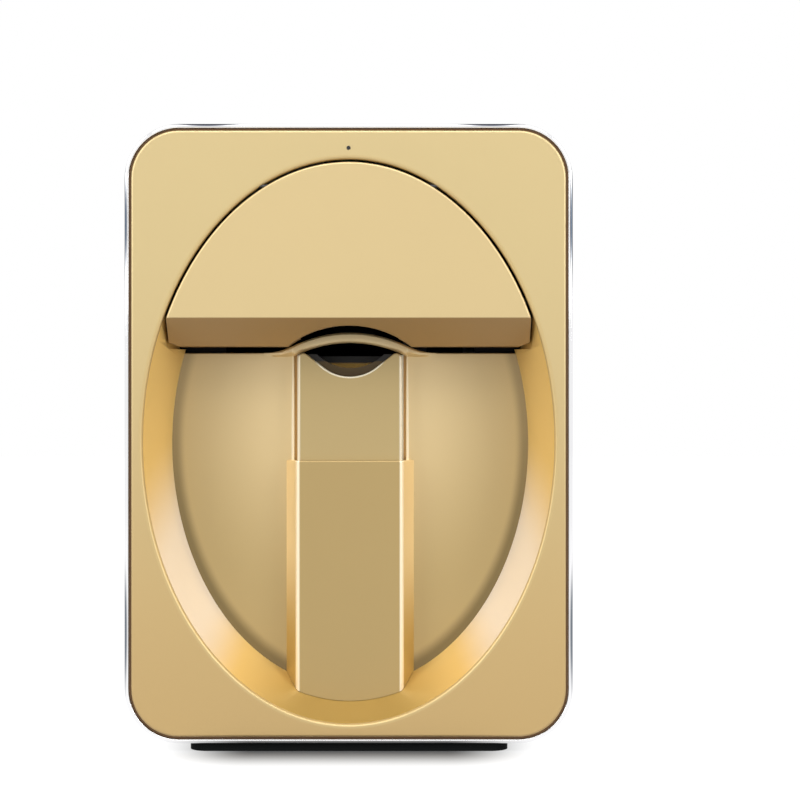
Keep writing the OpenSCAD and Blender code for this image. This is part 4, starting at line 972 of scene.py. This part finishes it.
def hood():
    stations = [-HOOD_END + 2 * HOOD_END * k / 110 for k in range(111)]
    stations += [s * (SLOT_HALF + d * MM) for s in (-1, 1) for d in (-0.1, 0.0, 0.1, 0.2, 0.3, 0.4)]
    loops = [[(x, y, z) for y, z in hood_section(x)] for x in sorted(set(stations))]
    return skin(loops, capped=True)


def floor_slab():
    reach_a, reach_b = FLOOR_A + WALL_T, FLOOR_B + WALL_T
    start = math.asin((EDGE_Z - FLOOR_Z) / reach_b)
    count = 200
    turns = [math.pi - start + (math.pi + 2 * start) * k / count for k in range(count + 1)]
    rim = [(reach_a * math.cos(t), FLOOR_Z + reach_b * math.sin(t)) for t in turns]
    slot = arc(SLOT_HALF - 1 * MM, SLOT_LOW + 1 * MM, 1 * MM, 0, -90, 4)
    right = [(SLOT_HALF, EDGE_Z)] + slot
    return rim + right + mirrored(right)


bay = new_solid("bay_moulding", slab(floor_slab(), FLOOR_Y, FLOOR_Y + FLOOR_T, 0.35 * MM))
carve(bay, ("UNION", hood()))
pegs = rods_y(FLOOR_SCREWS, 3.4 * MM, FLOOR_Y + 0.02 * MM, FLOOR_Y + FLOOR_T, 24)
holes = rods_y(FLOOR_SCREWS, 1.2 * MM, FLOOR_Y - PAST, FLOOR_Y + 4 * MM, 20)
carve(bay, ("UNION", *pegs), ("DIFFERENCE", *holes))
finish_piece(bay, "gold_paint", "housing", "bay_floor", finish="bay_gold")

# %% [markdown]
# ## Finger sleeve and finger plate
# The sleeve is a wide guide with leaning sides, low on the floor, and the plate slides down into it
# against two springs. Both are thin mouldings, hollow behind. The sleeve stands on its cross-section, and
# its foot runs on to the tapered wall and follows it. The plate's long edges have a bigger radius than
# its scooped top, and two thin flanges behind the floor close the slot's gaps with gold.

# %% Sizes of the sleeve and the plate
SLEEVE_FACE, PLATE_FACE = sleeve_low.y, plate_low.y
PLATE_HALF = (plate_high.x - plate_low.x) / 2
PLATE_ROUND = 1.2 * MM
PLATE_WALL = 2 * MM
SCOOP_SLOPE = 38
HORN_R = 1.8 * MM
CHANNEL_PLAY = 0.4 * MM
SLEEVE_BOSSES = [(sx * 9 * MM, z) for sx in (-1, 1) for z in (SLOT_LOW - 10 * MM, sleeve_low.z + 7.2 * MM)]
PLATE_BOSSES = [(sx * 5 * MM, EDGE_Z - 32.8 * MM) for sx in (-1, 1)]


# %% Finger sleeve
def sleeve_plan():
    """The sleeve's cross-section in (x, y): two leaning sides and a flat face with round corners."""
    foot = (sleeve_high.x, FLOOR_Y)
    lean = (foot[0] - 3.75 * MM, SLEEVE_FACE)
    right = soft_corner((0, SLEEVE_FACE), lean, foot, 1.2 * MM, 6) + [foot]
    return right + mirrored(right)


def plate_plan(grow, back):
    """The finger plate's cross-section in (x, y), grown by grow."""
    right = arc(PLATE_HALF - PLATE_ROUND, PLATE_FACE + PLATE_ROUND, PLATE_ROUND + grow, -90, 0, 8)
    right.append((PLATE_HALF + grow, back))
    return right + mirrored(right)


def finger_sleeve():
    plan = sleeve_plan()
    rounds = [0.45 * MM if y < FLOOR_Y - 0.1 * MM else 0.0 for x, y in plan]
    solid = new_solid("finger_sleeve", standing(plan, sleeve_high.z, sleeve_low.z - 8 * MM, rounds))
    plan = plate_plan(CHANNEL_PLAY, FLOOR_Y + PAST)
    channel = standing(plan, sleeve_high.z + PAST, sleeve_low.z + 10 * MM)
    bosses = rods_y(SLEEVE_BOSSES, 2.4 * MM, SLEEVE_FACE + 0.6 * MM, FLOOR_Y, 24)
    holes = rods_y(SLEEVE_BOSSES, 0.8 * MM, FLOOR_Y - 4.5 * MM, FLOOR_Y + PAST, 16)
    return carve(solid, ("INTERSECT", recess_space(-0.15 * MM)), ("DIFFERENCE", channel),
                 ("UNION", *bosses), ("DIFFERENCE", *holes))


finish_piece(finger_sleeve(), "gold_paint", "housing", "finger_sleeve", finish="sleeve_gold")


# %% Finger plate
def finger_plate():
    slope = math.radians(SCOOP_SLOPE)
    flank_x, flank_z = SCOOP_R * math.sin(slope), SCOOP_Z - SCOOP_R * math.cos(slope)
    horn_x = PLATE_HALF - HORN_R
    horn_z = flank_z + (horn_x - flank_x) * math.tan(slope) - HORN_R / math.cos(slope)
    horn = arc(horn_x, horn_z, HORN_R, 0, 90 + SCOOP_SLOPE, 12)
    scoop = arc(0, SCOOP_Z, SCOOP_R, SCOOP_SLOPE - 90, -SCOOP_SLOPE - 90, 28)
    outline = [(-PLATE_HALF, plate_low.z), (PLATE_HALF, plate_low.z)] + horn + scoop + mirrored(horn)
    fine = 0.4 * MM
    blend = [PLATE_ROUND + (fine - PLATE_ROUND) * min(1, k / 8) for k in range(len(horn))]
    rounds = [PLATE_ROUND] * 2 + blend + [fine] * len(scoop) + blend[::-1]
    back = FLOOR_Y + FLOOR_T + 0.5 * MM
    solid = new_solid("finger_plate_skin", slab(outline, PLATE_FACE, back, rounds))
    half = PLATE_HALF - PLATE_WALL
    inside = PLATE_FACE + PLATE_WALL
    hollow = block((-half, inside, plate_low.z + PLATE_WALL), (half, back + PAST, EDGE_Z - 12 * MM))
    bosses = rods_y(PLATE_BOSSES, 3 * MM, PLATE_FACE + PLATE_WALL / 2, plate_high.y, 32)
    holes = rods_y(PLATE_BOSSES, 1 * MM, inside + 1 * MM, plate_high.y + PAST, 16)
    outer, inner = PLATE_HALF + 2.6 * MM, PLATE_HALF - 1.2 * MM
    low, high, thin = plate_low.z + 3 * MM, EDGE_Z - 0.6 * MM, 0.4 * MM
    flanges = [block((x, back - thin, low), (x + outer - inner, back, high)) for x in (-outer, inner)]
    return carve(solid, ("UNION", *flanges), ("DIFFERENCE", hollow),
                 ("UNION", *bosses), ("DIFFERENCE", *holes))


finish_piece(finger_plate(), "gold_paint", "finger_rest", "finger_plate", finish="plate_gold")

# %% [markdown]
# ## Cartridge cover
# The cover is flush with the panel. Its lower edge turns back in a slope and a short shelf, with a round
# notch for the hood. It starts as a slab of its front outline. That is cut to the side view, with fine
# round corners, then to the plan, whose ends lean inwards, and last by the notch.

# %% Cover
COVER_T = 2.6 * MM
NOTCH_R = 33.3 * MM
NOTCH_Z = COVER_EDGE - 2.3 * MM - NOTCH_R
hinge_low, hinge_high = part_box("cover_hinge_pins")
HINGE_Y, HINGE_Z = (hinge_low.y + hinge_high.y) / 2, (hinge_low.z + hinge_high.z) / 2
HINGE_HALF = hinge_high.x - 6 * MM
MAGNETS = [(sx * 45.8 * MM, SHELF_Z + 4.4 * MM) for sx in (-1, 1)]
MAGNET_R = 2 * MM
FIT = 0.02 * MM


def cover_outline():
    a, b = OVAL_A - COVER_GAP, OVAL_B - COVER_GAP
    start = math.asin((COVER_EDGE + 0.6 * MM - OVAL_Z) / b)
    count = 150
    turns = [start + (math.pi - 2 * start) * k / count for k in range(count + 1)]
    arch = [(a * math.cos(turn), OVAL_Z + b * math.sin(turn)) for turn in turns]
    left = [(-SHELF_HALF, COVER_EDGE - 0.4 * MM), (-SHELF_HALF, SHELF_Z + 1.2 * MM),
            (3 * MM - SHELF_HALF, SHELF_Z)]
    return arch + left + mirrored(left)


def cover_side_view():
    """The cover's section in (y, z): front wall, slope and shelf, each corner rounded."""
    slope_low = (FRONT + SHELF_SLOPE, SHELF_Z)
    edge = (FRONT, COVER_EDGE)
    lean = COVER_T * (math.hypot(SHELF_SLOPE, COVER_EDGE - SHELF_Z) - SHELF_SLOPE) / (COVER_EDGE - SHELF_Z)
    high = OVAL_Z + OVAL_B
    front = soft_corner((FRONT, high), edge, slope_low, 0.6 * MM)
    knee = soft_corner(edge, slope_low, (SHELF_BACK, SHELF_Z), 0.6 * MM)
    behind = [(SHELF_BACK, SHELF_Z), (SHELF_BACK, SHELF_Z + COVER_T),
              (FRONT + SHELF_SLOPE + lean, SHELF_Z + COVER_T), (FRONT + COVER_T, COVER_EDGE + lean),
              (FRONT + COVER_T, high), (FRONT - PAST, high), (FRONT - PAST, front[0][1])]
    return front + knee + behind


def cartridge_cover():
    solid = new_solid("cover_skin", slab(cover_outline(), FRONT, SHELF_BACK + PAST, 0.7 * MM))
    plan = along_z(shelf_plan(FIT / 2, SHELF_BACK), 0.05, 0.25)
    bosses = rods_y(MAGNETS, MAGNET_R + 1.2 * MM, SHELF_BACK - 5 * MM, SHELF_BACK, 32)
    pockets = rods_y(MAGNETS, MAGNET_R + FIT, SHELF_BACK - 1.5 * MM, SHELF_BACK + PAST, 32)
    pins = [rod_x(HINGE_Y, HINGE_Z, 0.52 * MM, sx * (HINGE_HALF - 7 * MM), sx * (HINGE_HALF + 3 * MM))
            for sx in (-1, 1)]
    return carve(solid, ("INTERSECT", along_x(cover_side_view(), -0.08, 0.08)), ("INTERSECT", plan),
                 ("DIFFERENCE", rod_y(0, NOTCH_Z, NOTCH_R, FRONT - PAST, FLOOR_Y, 240)),
                 ("UNION", *bosses), ("DIFFERENCE", *pockets, *pins))


finish_piece(cartridge_cover(), "cover_gold", "cover", "cartridge_cover", bevel=0.15 * MM, limit=42)

# %% [markdown]
# ## Return springs of the finger rest
# Two coil springs under the finger rest's block push it up again. When a finger presses the rest down,
# they get shorter. A wire is a small ring of points carried along a helix.

# %% Springs
SPRING_WIRE, SPRING_TURNS, TURN_STEPS = 0.45 * MM, 6, 28
spring_low, spring_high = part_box("tray_springs")
SPRING_R = (spring_high.y - spring_low.y) / 2 - SPRING_WIRE


def coil(x):
    """A helix of round wire that stands on its seat."""
    y = (spring_low.y + spring_high.y) / 2
    start, rise = spring_low.z + SPRING_WIRE, spring_high.z - spring_low.z - 2 * SPRING_WIRE
    count = SPRING_TURNS * TURN_STEPS
    wire = circle(SPRING_R, 0, SPRING_WIRE, 8)
    rings = []
    for k in range(count + 1):
        turn = 2 * math.pi * k / TURN_STEPS
        z = start + rise * k / count
        rings.append([(x + out * math.cos(turn), y + out * math.sin(turn), z + up) for out, up in wire])
    return skin(rings, capped=True)


spring_x = spring_high.x - SPRING_R - SPRING_WIRE
springs = new_solid("return_springs", merged(coil(-spring_x), coil(spring_x)))
finish_piece(springs, "spring_steel", "housing", "tray_springs")
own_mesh(springs)

# %% [markdown]
# ## Rear panel and power button
# The back has a soft edge, a block of vent slots, screws in shallow wells, and round openings for the
# power button and the supply inlet. The button is turned: a shallow dome inside a fine groove.

# %% Rear panel
button_low, button_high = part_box("power_button")
inlet_low, inlet_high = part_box("inlet_socket")
BUTTON_X, BUTTON_Z = (button_low.x + button_high.x) / 2, (button_low.z + button_high.z) / 2
INLET_X, INLET_Z = (inlet_low.x + inlet_high.x) / 2, (inlet_low.z + inlet_high.z) / 2
BUTTON_R, INLET_R = 5.4 * MM, 4.5 * MM
SHELL_CORNER = PANEL_CORNER + RIM - (bezel_high.x - shell_high.x)
VENT_HALF, VENT_R, VENT_PITCH, VENT_COUNT = 26 * MM, 1.5 * MM, 7 * MM, 9
VENT_LOW = MID_Z + 6 * MM


def vent_slot(z):
    right = arc(VENT_HALF, z, VENT_R, -90, 90, 10)
    left = arc(-VENT_HALF, z, VENT_R, 90, 270, 10)
    return slab(right + left, rear_low.y - PAST, rear_high.y + PAST)


def back_cover():
    outline = rounded_rect(rear_high.x - rear_low.x, rear_high.z - rear_low.z, SHELL_CORNER, MID_Z)
    solid = new_solid("back_cover", slab(outline, rear_low.y, rear_high.y, back_round=1.8 * MM))
    y0, y1 = rear_low.y - PAST, rear_high.y + PAST
    vents = merged(*[vent_slot(VENT_LOW + i * VENT_PITCH) for i in range(VENT_COUNT)])
    openings = merged(rod_y(BUTTON_X, BUTTON_Z, BUTTON_R + 0.3 * MM, y0, y1, 64),
                      rod_y(INLET_X, INLET_Z, INLET_R + FIT, y0, y1, 64))
    bores = merged(*rods_y(POSTS, 1.55 * MM, y0, y1, 32))
    wells = merged(*rods_y(POSTS, 2.85 * MM, rear_high.y - 1.8 * MM, y1, 40))
    return carve(solid, ("DIFFERENCE", vents, openings, bores, wells))


finish_piece(back_cover(), "white_shell", "housing", "rear_panel", bevel=0.2 * MM, limit=55)


# %% Power button
def button_knob():
    back, face = button_low.y, button_high.y
    seat = rear_low.y - 0.3 * MM
    rings = [(6.6, back), (6.6, seat), (5.4, seat), (5.4, face - 0.45 * MM), (5.3, face - 0.2 * MM),
             (5.05, face - 0.1 * MM), (4.25, face - 0.07 * MM), (4.1, face - 0.22 * MM),
             (3.9, face - 0.22 * MM), (3.75, face - 0.06 * MM), (2.4, face - 0.02 * MM), (0.8, face)]
    return new_solid("button_knob", turned_y(BUTTON_X, BUTTON_Z, [(r * MM, y) for r, y in rings]))


finish_piece(button_knob(), "gold_paint", "power_button", "power_button", finish="button_gold")
